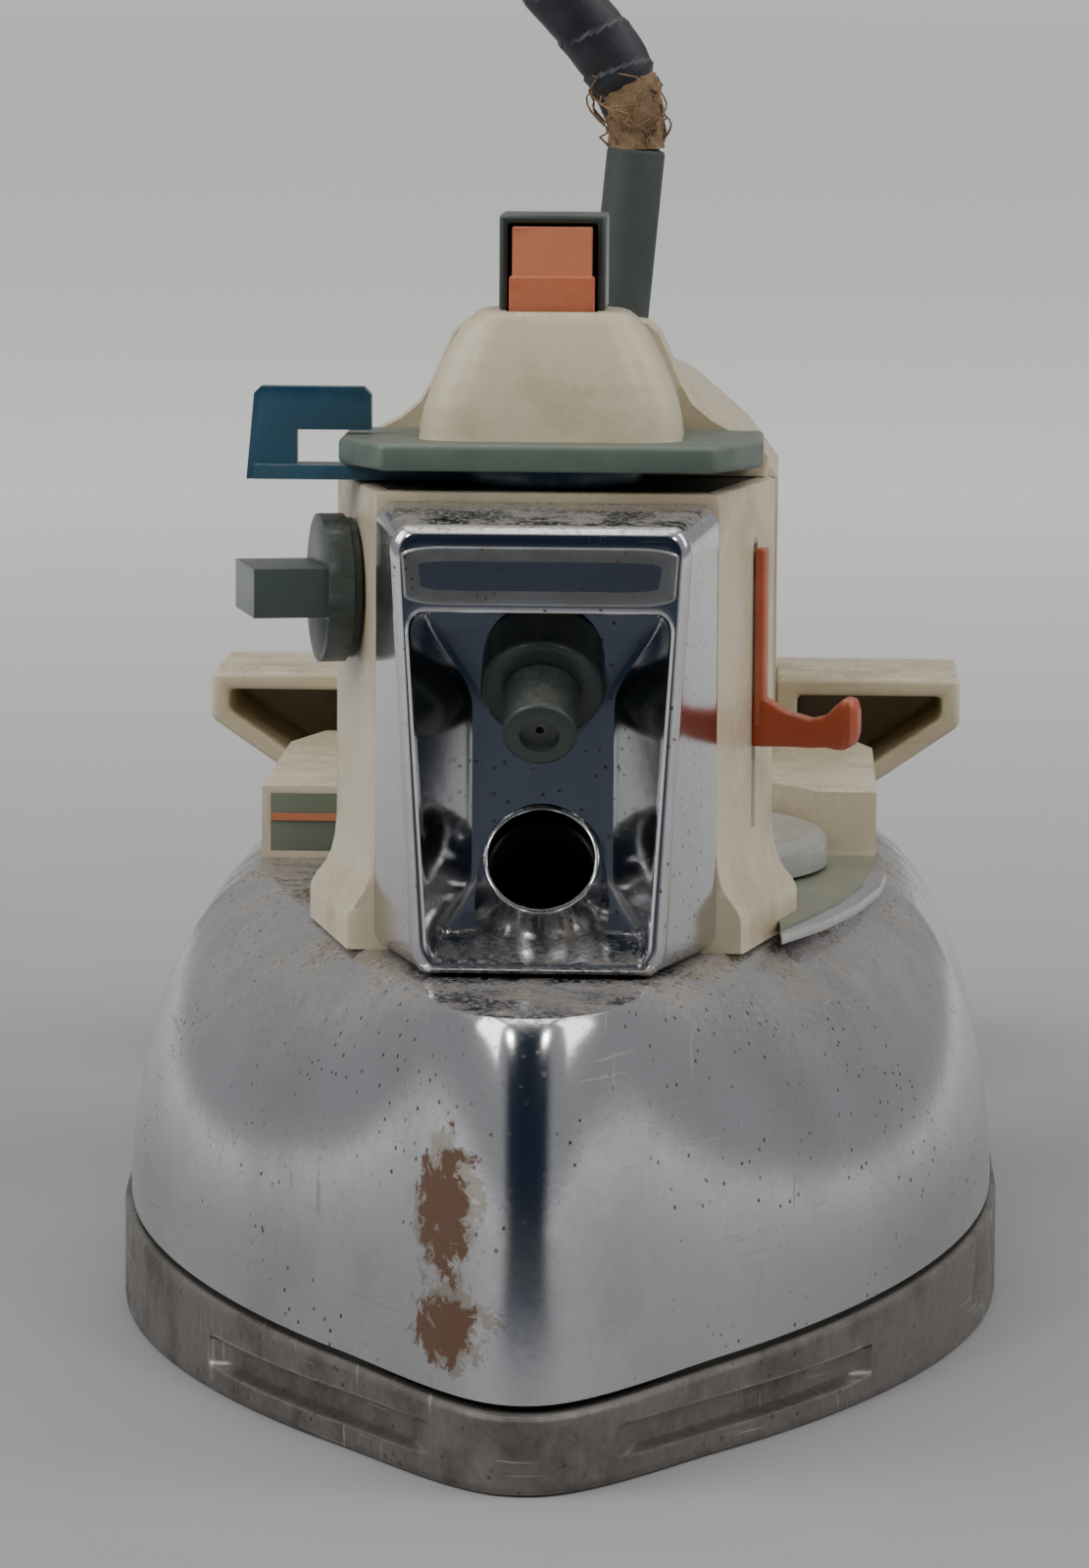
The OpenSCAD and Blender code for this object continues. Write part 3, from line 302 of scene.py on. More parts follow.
class Wires:
    """A helper that adds nodes to a node tree and joins them."""

    def __init__(self, tree):
        self.tree = tree

    @property
    def place(self):
        """The object's own coordinates, in metres."""
        return self.node("TexCoord").outputs["Object"]

    def node(self, kind, **values):
        """A new shader node. A value goes to the input of that name, or else to the node's own setting."""
        made = self.tree.nodes.new("ShaderNode" + kind)
        for key in sorted(values, key=lambda name: not name.islower()):
            if key.islower():
                setattr(made, key, values[key])
            else:
                self.put(made.inputs[key], values[key])
        return made

    def put(self, socket, value):
        if isinstance(value, bpy.types.NodeSocket):
            self.tree.links.new(value, socket)
        else:
            socket.default_value = value

    def math(self, operation, a, b=0.0, clamp=False):
        made = self.node("Math", operation=operation, use_clamp=clamp)
        self.put(made.inputs[0], a)
        self.put(made.inputs[1], b)
        return made.outputs[0]

    def dot(self, vector, way):
        """How closely a direction follows another, from -1 to 1."""
        made = self.node("VectorMath", operation="DOT_PRODUCT", Vector=vector)
        made.inputs[1].default_value = way
        return made.outputs["Value"]

    def ramp(self, value, low, high, kind="LINEAR"):
        """0 at low and 1 at high, and between them in between."""
        made = self.node("MapRange", interpolation_type=kind, Value=value)
        self.put(made.inputs["From Min"], low)
        self.put(made.inputs["From Max"], high)
        return made.outputs[0]

    def blend(self, share, a, b):
        made = self.node("Mix", data_type="RGBA")
        for socket, value in zip((made.inputs[0], made.inputs[6], made.inputs[7]), (share, a, b)):
            self.put(socket, value)
        return made.outputs[2]


paint = bpy.data.materials.new("table")
paint.use_nodes = True
floor = Wires(paint.node_tree)
spread = floor.node("VectorMath", operation="LENGTH", Vector=floor.place).outputs["Value"]
far = floor.ramp(spread, 0.16, 1.3)
grain = floor.node("TexNoise", Scale=40, Vector=floor.place).outputs["Fac"]
tone = floor.node("MapRange", Value=grain)
tone.inputs["To Min"].default_value, tone.inputs["To Max"].default_value = 0.97, 1.03
near_grey, far_grey = (0.30, 0.295, 0.305, 1), (0.40, 0.40, 0.39, 1)
soft = floor.node("VectorMath", operation="SCALE", Vector=floor.blend(far, near_grey, far_grey),
                  Scale=tone.outputs[0])
away = floor.node("VectorMath", operation="NORMALIZE", Vector=floor.place).outputs[0]
sector = floor.ramp(floor.dot(away, (0.04, -1, 0)), 0.80, 0.93)
reach = floor.ramp(spread, 0.16, 0.30)
# painted reflection: the floor ahead of the nose turns near-black for glossy rays only, so the chrome mirrors a
# dark strip
mirrored = floor.node("LightPath").outputs["Is Glossy Ray"]
painted_dark_reflection = floor.math("MULTIPLY", floor.math("MULTIPLY", sector, reach), mirrored)
glow = floor.math("MULTIPLY", far, floor.math("SUBTRACT", 1, painted_dark_reflection))
shader = paint.node_tree.nodes["Principled BSDF"].inputs
shader["Roughness"].default_value = 0.75
shader["Emission Color"].default_value = (1, 1, 0.985, 1)
# the near-black colour here is the painted dark reflection, and the same mask also stops the floor's glow there
floor.put(shader["Base Color"], floor.blend(painted_dark_reflection, soft.outputs[0], (0.02, 0.03, 0.05, 1)))
floor.put(shader["Emission Strength"], floor.math("MULTIPLY", glow, 0.42))
mesh.materials.append(paint)


def area_light(name, place, aim, size, power, tint=(1, 1, 1)):
    """A soft rectangular lamp at place, in metres, turned towards aim."""
    lamp = bpy.data.lights.new(name, "AREA")
    lamp.shape, lamp.size, lamp.size_y, lamp.energy, lamp.color = "RECTANGLE", size[0], size[1], power, tint
    thing = bpy.data.objects.new(name, lamp)
    scene.collection.objects.link(thing)
    gaze = (Vector(aim) - Vector(place)).to_track_quat("-Z", "Y")
    thing.matrix_world = Matrix.Translation(place) @ gaze.to_matrix().to_4x4()


area_light("window_left", (-1.6, -0.5, 1.3), (0, 0, 0.06), (1.3, 1.3), 20, (0.98, 0.99, 1))
area_light("window_right", (1.7, -0.1, 1.2), (0, 0, 0.06), (1.2, 1.4), 15, (1, 0.98, 0.95))
area_light("ceiling", (0, 0.1, 1.9), (0, 0, 0.05), (1.8, 1.8), 17)
area_light("lamp_left", (-0.55, -0.95, 0.85), (0, 0, 0.06), (0.16, 0.16), 2.6, (1, 0.98, 0.95))
area_light("lamp_right", (0.62, -0.95, 0.85), (0, 0, 0.06), (0.16, 0.16), 2.6, (1, 0.98, 0.95))

world = bpy.data.worlds.new("surroundings")
scene.world = world
world.use_nodes = True
world.node_tree.nodes.clear()
sky = Wires(world.node_tree)
gaze = sky.node("TexCoord").outputs["Generated"]
height = sky.node("ValToRGB", Fac=sky.node("SeparateXYZ", Vector=gaze).outputs["Z"])
for element, position, colour in zip(height.color_ramp.elements, (0.0, 0.8), ((0.50, 0.51, 0.53, 1),
                                                                            (0.62, 0.62, 0.62, 1))):
    element.position, element.color = position, colour
opening = sky.ramp(sky.dot(gaze, Vector((0.04, -1, 0.22)).normalized()), 0.66, 0.86, "SMOOTHSTEP")
room = sky.blend(opening, height.outputs[0], (0.018, 0.032, 0.065, 1))
ambient = sky.node("Background", Color=room, Strength=0.62)
plain = sky.node("Background", Color=(0.60, 0.60, 0.585, 1))
both = sky.node("MixShader", Fac=sky.node("LightPath").outputs["Is Camera Ray"])
sky.put(both.inputs[1], ambient.outputs[0])
sky.put(both.inputs[2], plain.outputs[0])
sky.node("OutputWorld", Surface=both.outputs[0])

# %% [markdown]
# Old kitchen goods wear in the same few ways, so each way is one shader group: mottled colour from handling,
# dust that settles on faces that look up, bright rubbed edges, pits in plating, and long scratches. Each
# group works in the object's own metres, so a pit is the same size on every part.

# %% Shader groups for wear
NOISE_SEED = [0]


class Group(Wires):
    """A shader node group with named inputs and outputs."""

    def __init__(self, name, inputs, outputs):
        super().__init__(bpy.data.node_groups.new(name, "ShaderNodeTree"))
        for label, kind, value in inputs:
            socket = self.tree.interface.new_socket(label, in_out="INPUT", socket_type=kind)
            if value is not None:
                socket.default_value = value
        for label, kind in outputs:
            self.tree.interface.new_socket(label, in_out="OUTPUT", socket_type=kind)
        self.given = self.tree.nodes.new("NodeGroupInput").outputs
        self.result = self.tree.nodes.new("NodeGroupOutput").inputs

    def noise(self, scale, detail=4.0, rough=0.55, stretch=(1, 1, 1)):
        NOISE_SEED[0] += 1
        shift = self.node("Mapping", Vector=self.place, Location=(0.37 * NOISE_SEED[0], 0.11, 0.23), Scale=stretch)
        return self.node("TexNoise", Vector=shift.outputs[0], Scale=scale, Detail=detail,
                         Roughness=rough).outputs["Fac"]

    def smooth(self, value, low, high):
        return self.ramp(value, low, high, "SMOOTHSTEP")

    def finish(self, mask, colour=None):
        """Puts out the mask, and the given colour with the named one laid over it."""
        if colour:
            self.put(self.result["Colour"], self.blend(mask, self.given["Colour"], self.given[colour]))
        self.put(self.result["Mask"], mask)


COLOUR, NUMBER, DIRECTION = "NodeSocketColor", "NodeSocketFloat", "NodeSocketVector"

g = Group("mottled", [("Colour", COLOUR, None), ("Stain", COLOUR, None), ("Scale", NUMBER, 60),
                      ("Amount", NUMBER, 0.5)], [("Colour", COLOUR), ("Mask", NUMBER)])
broad = g.smooth(g.noise(g.given["Scale"], 6, 0.6), 0.42, 0.68)
fine = g.smooth(g.noise(900, 3, 0.6), 0.35, 0.75)
mask = g.math("MULTIPLY", g.math("ADD", g.math("MULTIPLY", broad, 0.75), g.math("MULTIPLY", fine, 0.25)),
              g.given["Amount"], True)
g.finish(mask, "Stain")

g = Group("dusty", [("Colour", COLOUR, None), ("Dust", COLOUR, None), ("Amount", NUMBER, 0.5)],
          [("Colour", COLOUR), ("Mask", NUMBER)])
facing = g.node("SeparateXYZ", Vector=g.node("NewGeometry").outputs["Normal"])
up = g.smooth(facing.outputs["Z"], 0.35, 0.95)
specks = g.math("ADD", g.smooth(g.noise(1400, 2, 0.5), 0.5, 0.66), g.smooth(g.noise(140, 5, 0.6), 0.4, 0.7))
mask = g.math("MULTIPLY", g.math("MULTIPLY", up, specks), g.given["Amount"], True)
g.finish(mask, "Dust")

g = Group("rubbed_edges", [("Colour", COLOUR, None), ("Worn", COLOUR, None), ("Amount", NUMBER, 0.6)],
          [("Colour", COLOUR), ("Mask", NUMBER)])
point = g.node("NewGeometry").outputs["Pointiness"]
edge = g.smooth(g.math("ADD", point, g.math("MULTIPLY", g.noise(260, 4, 0.7), 0.06)), 0.55, 0.62)
mask = g.math("MULTIPLY", edge, g.given["Amount"], True)
g.finish(mask, "Worn")

g = Group("pitted", [("Scale", NUMBER, 700), ("Amount", NUMBER, 0.5)], [("Mask", NUMBER)])
cells = g.node("TexVoronoi", Vector=g.place, Scale=g.given["Scale"])
spot = g.math("SUBTRACT", 1.0, g.smooth(cells.outputs["Distance"], 0.08, 0.2))
where = g.smooth(g.noise(38, 4, 0.6), 0.44, 0.6)
g.finish(g.math("MULTIPLY", g.math("MULTIPLY", spot, where), g.given["Amount"], True))

g = Group("scratched", [("Amount", NUMBER, 0.5)], [("Mask", NUMBER)])
one = g.smooth(g.noise(60, 2, 0.5, (1.0, 1.0, 26.0)), 0.66, 0.72)
two = g.smooth(g.noise(50, 2, 0.5, (24.0, 1.0, 2.0)), 0.67, 0.73)
patch = g.smooth(g.noise(26, 2, 0.5), 0.45, 0.6)
both = g.math("MULTIPLY", g.math("ADD", one, two), patch)
g.finish(g.math("MULTIPLY", both, g.given["Amount"], True))

g = Group("fine_relief", [("Scale", NUMBER, 1500), ("Depth", NUMBER, 0.1)], [("Normal", DIRECTION)])
relief = g.node("Bump", Distance=0.0004, Strength=g.given["Depth"], Height=g.noise(g.given["Scale"], 5, 0.6))
g.put(g.result["Normal"], relief.outputs[0])
print("shader groups:", [t.name for t in bpy.data.node_groups])

# %% [markdown]
# A material below is a short recipe: a colour, how metallic and how rough it is, and which kinds of wear it
# has. The names are the record's own material slots, so a CAD part and its dressed copy share one finish.

# %% Materials for every slot
MADE = {}


class Paint(Wires):
    """One material, built up from the shader groups."""

    def __init__(self, name, colour, rough, metal=0.0, coat=0.0):
        self.made = bpy.data.materials.new(name)
        self.made.use_nodes = True
        super().__init__(self.made.node_tree)
        self.sockets = self.tree.nodes["Principled BSDF"].inputs
        self.sockets["Roughness"].default_value = rough
        self.sockets["Metallic"].default_value = metal
        self.sockets["Coat Weight"].default_value = coat
        self.colour = (*colour, 1)
        self.rough = rough
        MADE[name] = self.made

    def use(self, group, **values):
        """Adds a shader group with its own values, and returns its outputs."""
        node = self.tree.nodes.new("ShaderNodeGroup")
        node.node_tree = bpy.data.node_groups[group]
        for key, value in values.items():
            self.put(node.inputs[key], value)
        return node.outputs

    def layer(self, group, **values):
        """Adds a group that takes the colour so far and gives the next one, and returns its mask."""
        made = self.use(group, Colour=self.colour, **values)
        self.colour = made["Colour"]
        return made["Mask"]

    def over(self, mask, colour):
        """Paints a colour where mask is 1."""
        self.colour = self.blend(mask, self.colour, (*colour, 1))

    def marks(self, pit_scale, pit_amount, pit_colour, line_amount, line_share, line_colour):
        """Adds pits and scratches, and returns where they are."""
        pits = self.use("pitted", Scale=pit_scale, Amount=pit_amount)["Mask"]
        lines = self.use("scratched", Amount=line_amount)["Mask"]
        self.over(pits, pit_colour)
        self.over(self.math("MULTIPLY", lines, line_share), line_colour)
        return self.math("ADD", pits, lines)

    def roughen(self, mask, share):
        """Makes the surface rougher where mask is 1."""
        self.put(self.sockets["Roughness"], self.math("ADD", self.math("MULTIPLY", mask, share), self.rough, True))

    def bare(self, cover, share):
        """Keeps the surface metallic only where nothing covers it."""
        self.put(self.sockets["Metallic"], self.math("SUBTRACT", 1.0, self.math("MULTIPLY", cover, share), True))

    def done(self, relief=None):
        self.put(self.sockets["Base Color"], self.colour)
        if relief:
            self.put(self.sockets["Normal"], self.use("fine_relief", Scale=relief[0], Depth=relief[1])["Normal"])
        return self.made


def plastic(name, colour, stain, rough=0.38, amount=0.45, dust=(0.30, 0.25, 0.18), dusty=0.35, worn=None,
            rub=0.5, relief=(1800, 0.10), coat=0.0):
    """Moulded plastic with handling stains, dust on top and rubbed edges."""
    paint = Paint(name, colour, rough, coat=coat)
    mask = paint.layer("mottled", Stain=(*stain, 1), Scale=70.0, Amount=amount)
    if worn:
        paint.layer("rubbed_edges", Worn=(*worn, 1), Amount=rub)
    settled = paint.layer("dusty", Dust=(*dust, 1), Amount=dusty)
    paint.roughen(paint.math("ADD", mask, settled), 0.3)
    return paint.done(relief)


def metal(name, colour, stain, rough=0.25, amount=0.4, relief=(900, 0.06), worn=None):
    """Bare or plated metal with stains."""
    paint = Paint(name, colour, rough, metal=1.0)
    mask = paint.layer("mottled", Stain=(*stain, 1), Scale=45.0, Amount=amount)
    if worn:
        paint.layer("rubbed_edges", Worn=(*worn, 1), Amount=0.8)
    paint.roughen(mask, 0.3)
    return paint.done(relief)


plastic("cream_plastic", (0.60, 0.52, 0.365), (0.30, 0.22, 0.13), rough=0.33, amount=0.55, dusty=0.5,
        worn=(0.68, 0.61, 0.46), rub=0.35)
plastic("dark_green_plastic", (0.030, 0.043, 0.038), (0.014, 0.02, 0.018), rough=0.3, dust=(0.13, 0.11, 0.085),
        worn=(0.10, 0.13, 0.12), dusty=0.45)
plastic("grey_green_plastic", (0.085, 0.125, 0.100), (0.050, 0.070, 0.058), rough=0.36, dusty=0.55,
        dust=(0.16, 0.13, 0.09), worn=(0.20, 0.24, 0.20))
plastic("orange_plastic", (0.42, 0.070, 0.024), (0.20, 0.036, 0.015), rough=0.36, worn=(0.70, 0.30, 0.15))
plastic("teal_plastic", (0.012, 0.050, 0.088), (0.007, 0.022, 0.036), rough=0.24, worn=(0.05, 0.12, 0.17))
plastic("black_plastic", (0.018, 0.019, 0.020), (0.008, 0.008, 0.009), rough=0.34, worn=(0.06, 0.06, 0.06))
plastic("grey_plastic", (0.24, 0.235, 0.22), (0.13, 0.12, 0.10), rough=0.4)
plastic("tank_plastic", (0.48, 0.46, 0.38), (0.34, 0.30, 0.22), rough=0.42)
plastic("dial_plastic", (0.33, 0.33, 0.32), (0.16, 0.17, 0.14), rough=0.3, dusty=0.3, coat=0.3)
plastic("thermostat_resin", (0.17, 0.075, 0.035), (0.09, 0.04, 0.02), rough=0.5)
plastic("green_label", (0.105, 0.130, 0.085), (0.06, 0.07, 0.05), rough=0.3, dusty=0.25, worn=(0.22, 0.24, 0.18))
plastic("sleeve_rubber", (0.040, 0.055, 0.050), (0.02, 0.027, 0.024), rough=0.6, relief=(2600, 0.3))
plastic("rubber_seal", (0.016, 0.014, 0.012), (0.05, 0.035, 0.02), rough=0.7, relief=(2600, 0.3))
plastic("tape", (0.011, 0.013, 0.020), (0.022, 0.026, 0.036), rough=0.42, dusty=0.15, relief=(700, 0.25))
plastic("cord_cover", (0.017, 0.019, 0.024), (0.035, 0.036, 0.04), rough=0.75, relief=(3200, 0.7))
metal("heater_steel", (0.15, 0.13, 0.12), (0.06, 0.045, 0.035), rough=0.5)
metal("bright_steel", (0.62, 0.62, 0.62), (0.34, 0.30, 0.26), rough=0.25)
metal("spindle_steel", (0.50, 0.49, 0.47), (0.30, 0.26, 0.2), rough=0.3)
metal("brass_fitting", (0.56, 0.38, 0.14), (0.30, 0.20, 0.09), rough=0.3)
metal("silver_trim", (0.60, 0.58, 0.60), (0.36, 0.33, 0.32), rough=0.28, worn=(0.8, 0.8, 0.8))
print("materials so far:", len(MADE))

# %% [markdown]
# The chrome is thin plating on pressed steel: mirror bright where it was wiped, fogged and brown with baked
# starch where it was not, with small pits where the plating broke. The sole's edge is bare cast aluminium,
# ground lengthwise at the works and knocked about since.

# %% Chrome, aluminium and frayed braid
paint = Paint("chrome", (0.60, 0.61, 0.63), 0.13, metal=1.0)
film = paint.layer("mottled", Stain=(0.40, 0.36, 0.31, 1), Scale=32.0, Amount=0.35)
dust = paint.layer("dusty", Dust=(0.20, 0.15, 0.09, 1), Amount=0.55)
marks = paint.marks(620.0, 0.9, (0.07, 0.045, 0.03), 0.5, 0.35, (0.2, 0.2, 0.21))
wear = paint.math("ADD", paint.math("MULTIPLY", film, 0.5), paint.math("MULTIPLY", dust, 1.6))
paint.roughen(paint.math("ADD", wear, marks), 0.28)
paint.bare(dust, 0.8)
paint.done((500, 0.035))


def rusty(paint, centre, size, seed):
    """A mask for one ragged rust stain, at a place in millimetres from the nose."""
    shift = paint.node("Mapping", vector_type="TEXTURE", Vector=paint.place, Location=at(*centre),
                       Scale=[v * MM for v in size])
    reach = paint.node("VectorMath", operation="LENGTH", Vector=shift.outputs[0]).outputs["Value"]
    ragged = paint.node("TexNoise", noise_dimensions="4D", W=seed, Scale=300, Detail=9, Roughness=0.72,
                        Distortion=0.7, Vector=paint.place).outputs["Fac"]
    both = paint.math("ADD", reach, paint.math("MULTIPLY", ragged, 2.6))
    return paint.ramp(both, 2.12, 1.98)


def stain_pair(paint, upper, lower):
    """The larger of two rust masks, one above the other beside the nose."""
    return paint.math("MAXIMUM", rusty(paint, *upper), rusty(paint, *lower), True)


paint = Paint("hull_chrome", (0.58, 0.585, 0.60), 0.15, metal=1.0)
film = paint.layer("mottled", Stain=(0.36, 0.335, 0.30, 1), Scale=38.0, Amount=0.5)
dust = paint.layer("dusty", Dust=(0.17, 0.12, 0.075, 1), Amount=0.75)
marks = paint.marks(560.0, 1.0, (0.06, 0.035, 0.022), 0.6, 0.4, (0.16, 0.155, 0.15))
rust = stain_pair(paint, ((-10, 6, 31), (5, 9, 10), 3.1), ((-10.5, 5, 17.5), (6.5, 9, 5.5), 8.4))
lifted = stain_pair(paint, ((-9.5, 6, 31.5), (6.3, 10, 11.5), 3.7), ((-10, 5, 18), (8, 10, 6.8), 9.2))
paint.over(paint.math("MULTIPLY", lifted, 0.75), (0.36, 0.32, 0.25))
paint.over(rust, (0.115, 0.055, 0.028))
wear = paint.math("ADD", paint.math("MULTIPLY", film, 0.45), paint.math("MULTIPLY", dust, 1.6))
paint.roughen(paint.math("ADD", paint.math("ADD", wear, rust), marks), 0.3)
paint.bare(paint.math("MAXIMUM", dust, rust), 0.9)
paint.done((420, 0.05))

paint = Paint("aluminium_sole", (0.24, 0.225, 0.205), 0.46, metal=0.9)
film = paint.layer("mottled", Stain=(0.085, 0.075, 0.062, 1), Scale=75.0, Amount=0.85)
paint.layer("rubbed_edges", Worn=(0.55, 0.54, 0.51, 1), Amount=0.8)
paint.marks(480.0, 0.8, (0.05, 0.045, 0.04), 0.8, 0.6, (0.60, 0.59, 0.57))
paint.roughen(film, 0.2)
paint.done((420, 0.22))

paint = Paint("cord_braid", (0.30, 0.19, 0.10), 0.85)
paint.layer("mottled", Stain=(0.10, 0.065, 0.04, 1), Scale=260.0, Amount=0.8)
paint.done((2400, 0.8))

SLOT = {row["node"]: row["material_slot"] for row in frame["record"]["subparts"]}
for name, piece in nodes.items():
    if piece.material_slots:
        piece.material_slots[0].material = MADE[SLOT[name]]
    else:
        piece.data.materials.append(MADE[SLOT[name]])
print("finishes on", len(nodes), "CAD parts")


def dress(bm, name, node, sharp=35, recalc=True):
    """Finishes a piece that stands for one CAD node, in that node's own finish."""
    return finish_mesh(bm, name, nodes[node]["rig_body"], SLOT[node], MADE[SLOT[node]],
                       [node], sharp, recalc)


def moulded(node, width, segments=3):
    """Replaces a CAD node by its own merged copy, with flat faces joined and sharp edges rounded."""
    bm = bmesh.new()
    bm.from_mesh(nodes[node].data)
    bmesh.ops.remove_doubles(bm, verts=bm.verts, dist=1e-6)
    bmesh.ops.dissolve_limit(bm, angle_limit=math.radians(1), verts=bm.verts, edges=bm.edges)
    round_off(bm, width, segments)
    return dress(bm, node + "_made", node, recalc=False)


# %% [markdown]
# The lead itself is a tube swept along its middle line. At the sleeve its outer braid is torn and frayed,
# and somebody wound insulating tape round it where it bends. The tape is wound in overlapping turns, so its
# radius steps like a saw tooth, and the torn braid is a bundle of loose brown threads.

# %% Cord, tape, braid and plug
def frames_along(line, across=Vector((0.3, 1, 0.1))):
    """Two directions square to the line at each point, carried along without twist."""
    side = None
    for i, point in enumerate(line):
        ahead = (line[min(i + 1, len(line) - 1)] - line[max(i - 1, 0)]).normalized()
        side = across.cross(ahead).cross(ahead) * -1 if side is None else side
        side = (side - ahead * side.dot(ahead)).normalized()
        yield point, side, ahead.cross(side)


def tube_on(bm, line, radius, sides=20):
    """Sweeps a ring along a line, with radius(share along, angle) in millimetres, and closes both ends."""
    rings = []
    for i, (point, u, v) in enumerate(frames_along(line)):
        share = i / (len(line) - 1)
        made = bmesh.ops.create_circle(bm, segments=sides, radius=1)["verts"]
        for vert in made:
            a = math.atan2(vert.co.y, vert.co.x)
            vert.co = point + (u * math.cos(a) + v * math.sin(a)) * radius(share, a) * MM
        rings.append(list({e for vert in made for e in vert.link_edges}))
    for a, b in zip(rings, rings[1:]):
        bmesh.ops.bridge_loops(bm, edges=a + b)
    bmesh.ops.contextual_create(bm, geom=rings[0])
    bmesh.ops.contextual_create(bm, geom=rings[-1])


def part_of(line, start, end):
    """The stretch of a line between two distances along it, in metres."""
    run, kept = 0.0, []
    for a, b in zip(line, line[1:]):
        if start <= run <= end:
            kept.append(a)
        run += (b - a).length
    return kept


bm = bmesh.new()
tube_on(bm, middle, lambda share, a: CORD_D / 2, 18)
cord = finish_mesh(bm, "mains_cord", nodes["cord"]["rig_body"], "cord_cover", MADE["cord_cover"],
                   ["cord", "cord_coil"])

bm = bmesh.new()
taped = part_of(middle, 0.0085, 0.052)
fine_line = smooth_line(taped, 5)


def tape_radius(share, a):
    turn = (share * 5.2 + a / math.tau) % 1.0
    lump = noise.noise(Vector((math.cos(a) * 1.3, math.sin(a) * 1.3, share * 9 + 4)))
    ends = ease(share / 0.05) * ease((1 - share) / 0.04)
    return mix(3.75, 4.35 + 0.42 * turn + 0.45 * lump, ends)


tube_on(bm, fine_line, tape_radius, 32)
tape = dress(bm, "wound_tape", "tape_wrap", sharp=28)

bm = bmesh.new()
random.seed(7)
torn = part_of(middle, 0.0, 0.012)
tube_on(bm, smooth_line(torn, 3), lambda share, a: 3.72 + 0.14 * math.sin(a * 9 + share * 26), 54)
for k in range(46):
    a, lift = random.uniform(0, math.tau), random.uniform(0.6, 1.9)
    start, run = random.uniform(0.0, 0.7), random.uniform(0.25, 0.5)
    thread = []
    for i in range(6):
        t = min(start + run * i / 5, 1.0)
        spot = torn[0].lerp(torn[-1], t)
        reach = 3.7 + lift * math.sin(i / 5 * 2.4)
        twist = a + i * random.uniform(-0.10, 0.16)
        thread.append(spot + Vector((math.cos(twist), math.sin(twist), 0)) * reach * MM)
    tube_on(bm, thread, lambda share, b: 0.2 - 0.09 * share, 5)
braid = dress(bm, "torn_braid", "frayed_braid", sharp=60, recalc=False)

plug = moulded("plug_body", 1.2)
tuple(middle[0])
[tuple(p) for p in middle]
print("cord laid:", round(cord_length, 3), "m of lead")

# %% [markdown]
# The sleeve is a short rubber tube that keeps the lead from breaking where it leaves the post. It is a hollow
# turned shape with a rounded lip.

# %% Cord sleeve
foot, tip = Vector((3.4, 66, 104)), Vector((7, 66, 143))
aim = (tip - foot).to_track_quat("Z", "X").to_matrix().to_4x4()
place = Matrix.Translation(foot * MM) @ aim
span = (tip - foot).length


def lathe(profile, place, steps=56):
    """A new bmesh with a closed profile of (radius, height) in millimetres spun round the Z axis of place."""
    bm = bmesh.new()
    verts = [bm.verts.new((r * MM, 0, h * MM)) for r, h in profile]
    edges = [bm.edges.new(pair) for pair in zip(verts, verts[1:])]
    bmesh.ops.spin(bm, geom=verts + edges, cent=(0, 0, 0), axis=(0, 0, 1), angle=math.tau, steps=steps)
    bmesh.ops.remove_doubles(bm, verts=bm.verts, dist=2e-6)
    bmesh.ops.transform(bm, matrix=place, verts=bm.verts)
    return bm


def rounded(r, h, radius, start, end, count=4):
    """Points of a quarter round about (r, h), from the start angle to the end angle in degrees."""
    angles = [math.radians(mix(start, end, i / count)) for i in range(count + 1)]
    return [(r + radius * math.cos(a), h + radius * math.sin(a)) for a in angles]


profile = [(3.55, 0), (3.92, 0)] + rounded(3.32, span - 0.6, 0.6, 0, 90) + [(3.55, span - 0.4), (3.55, 0)]
bm = lathe(profile, place)
dress(bm, "rubber_sleeve", "cord_sleeve")

# %% [markdown]
# The hull and the soleplate share one outline: two long curves that meet in a sharp nose, and a squared
# heel. The formula below gives that outline moved in by any amount, so the sole, its grooves, the chrome's
# foot and its deck all follow the same line.

# %% The shared outline
HALF_W, WIDEST, SOLE_END, DECK_HALF, LEAN, DECK_Z = 55.5, 125.0, 222.0, 39.5, 7.5, 52.0


def edge_point(u, inset, blunt=4.6):
    """A point of the outline moved in by inset, with u = 0 at the nose, 0.5 at the heel and on round."""
    mirror = 1 if u <= 0.5 else -1
    s = min(u, 1 - u) * 2
    if s < 0.62:
        a = math.pi / 2 * s / 0.62
        x = (HALF_W - inset) * math.sin(a) ** 1.74
        y = WIDEST - (WIDEST - 1.5 * inset) * math.cos(a)
        behind = y - 1.5 * inset
        y += math.hypot(behind, blunt) - behind - blunt * (1 - ease(behind / 24))
    else:
        q = (s - 0.62) / 0.38
        b = math.pi / 2 * q ** 2.5 / (q ** 2.5 + (1 - q) ** 2.5)
        x = (HALF_W - inset) * max(math.cos(b), 0) ** 0.4
        y = WIDEST + (SOLE_END - inset - WIDEST) * math.sin(b) ** 0.4
    return mirror * x, y


def deck_point(u):
    """A point of the chrome hull's upper edge, a wedge that leans back from the nose."""
    mirror = 1 if u <= 0.5 else -1
    x, y = edge_point(min(u, 1 - u), 0, 0)
    if y < WIDEST and min(u, 1 - u) * 2 < 0.62:
        a = 90 * min(u, 1 - u) * 2 / 0.62
        y = y + LEAN * (1 - ease(y / 40))
        wedge = min(DECK_HALF, 7.5 + (DECK_HALF - 8.5) * (y - LEAN) / (WIDEST - 10))
        x = min(wedge, HALF_W) * math.sin(math.radians(min(90, a * 3.4))) ** 0.8
    else:
        x, y = x * DECK_HALF / HALF_W, WIDEST + (y - WIDEST) * (SOLE_END - 12 - WIDEST) / (SOLE_END - WIDEST)
    return mirror * x, y


def sole_top(y):
    return 13.4 if y >= WIDEST else 9.2 + 4.2 * y / WIDEST


# %% [markdown]
# The soleplate's edge is thickest at the widest point and thins towards the nose. A long groove runs along
# each side of the nose, so that the point slides under a button. The edge's corners are a little rounded by
# use, and the underside has its steam vents.

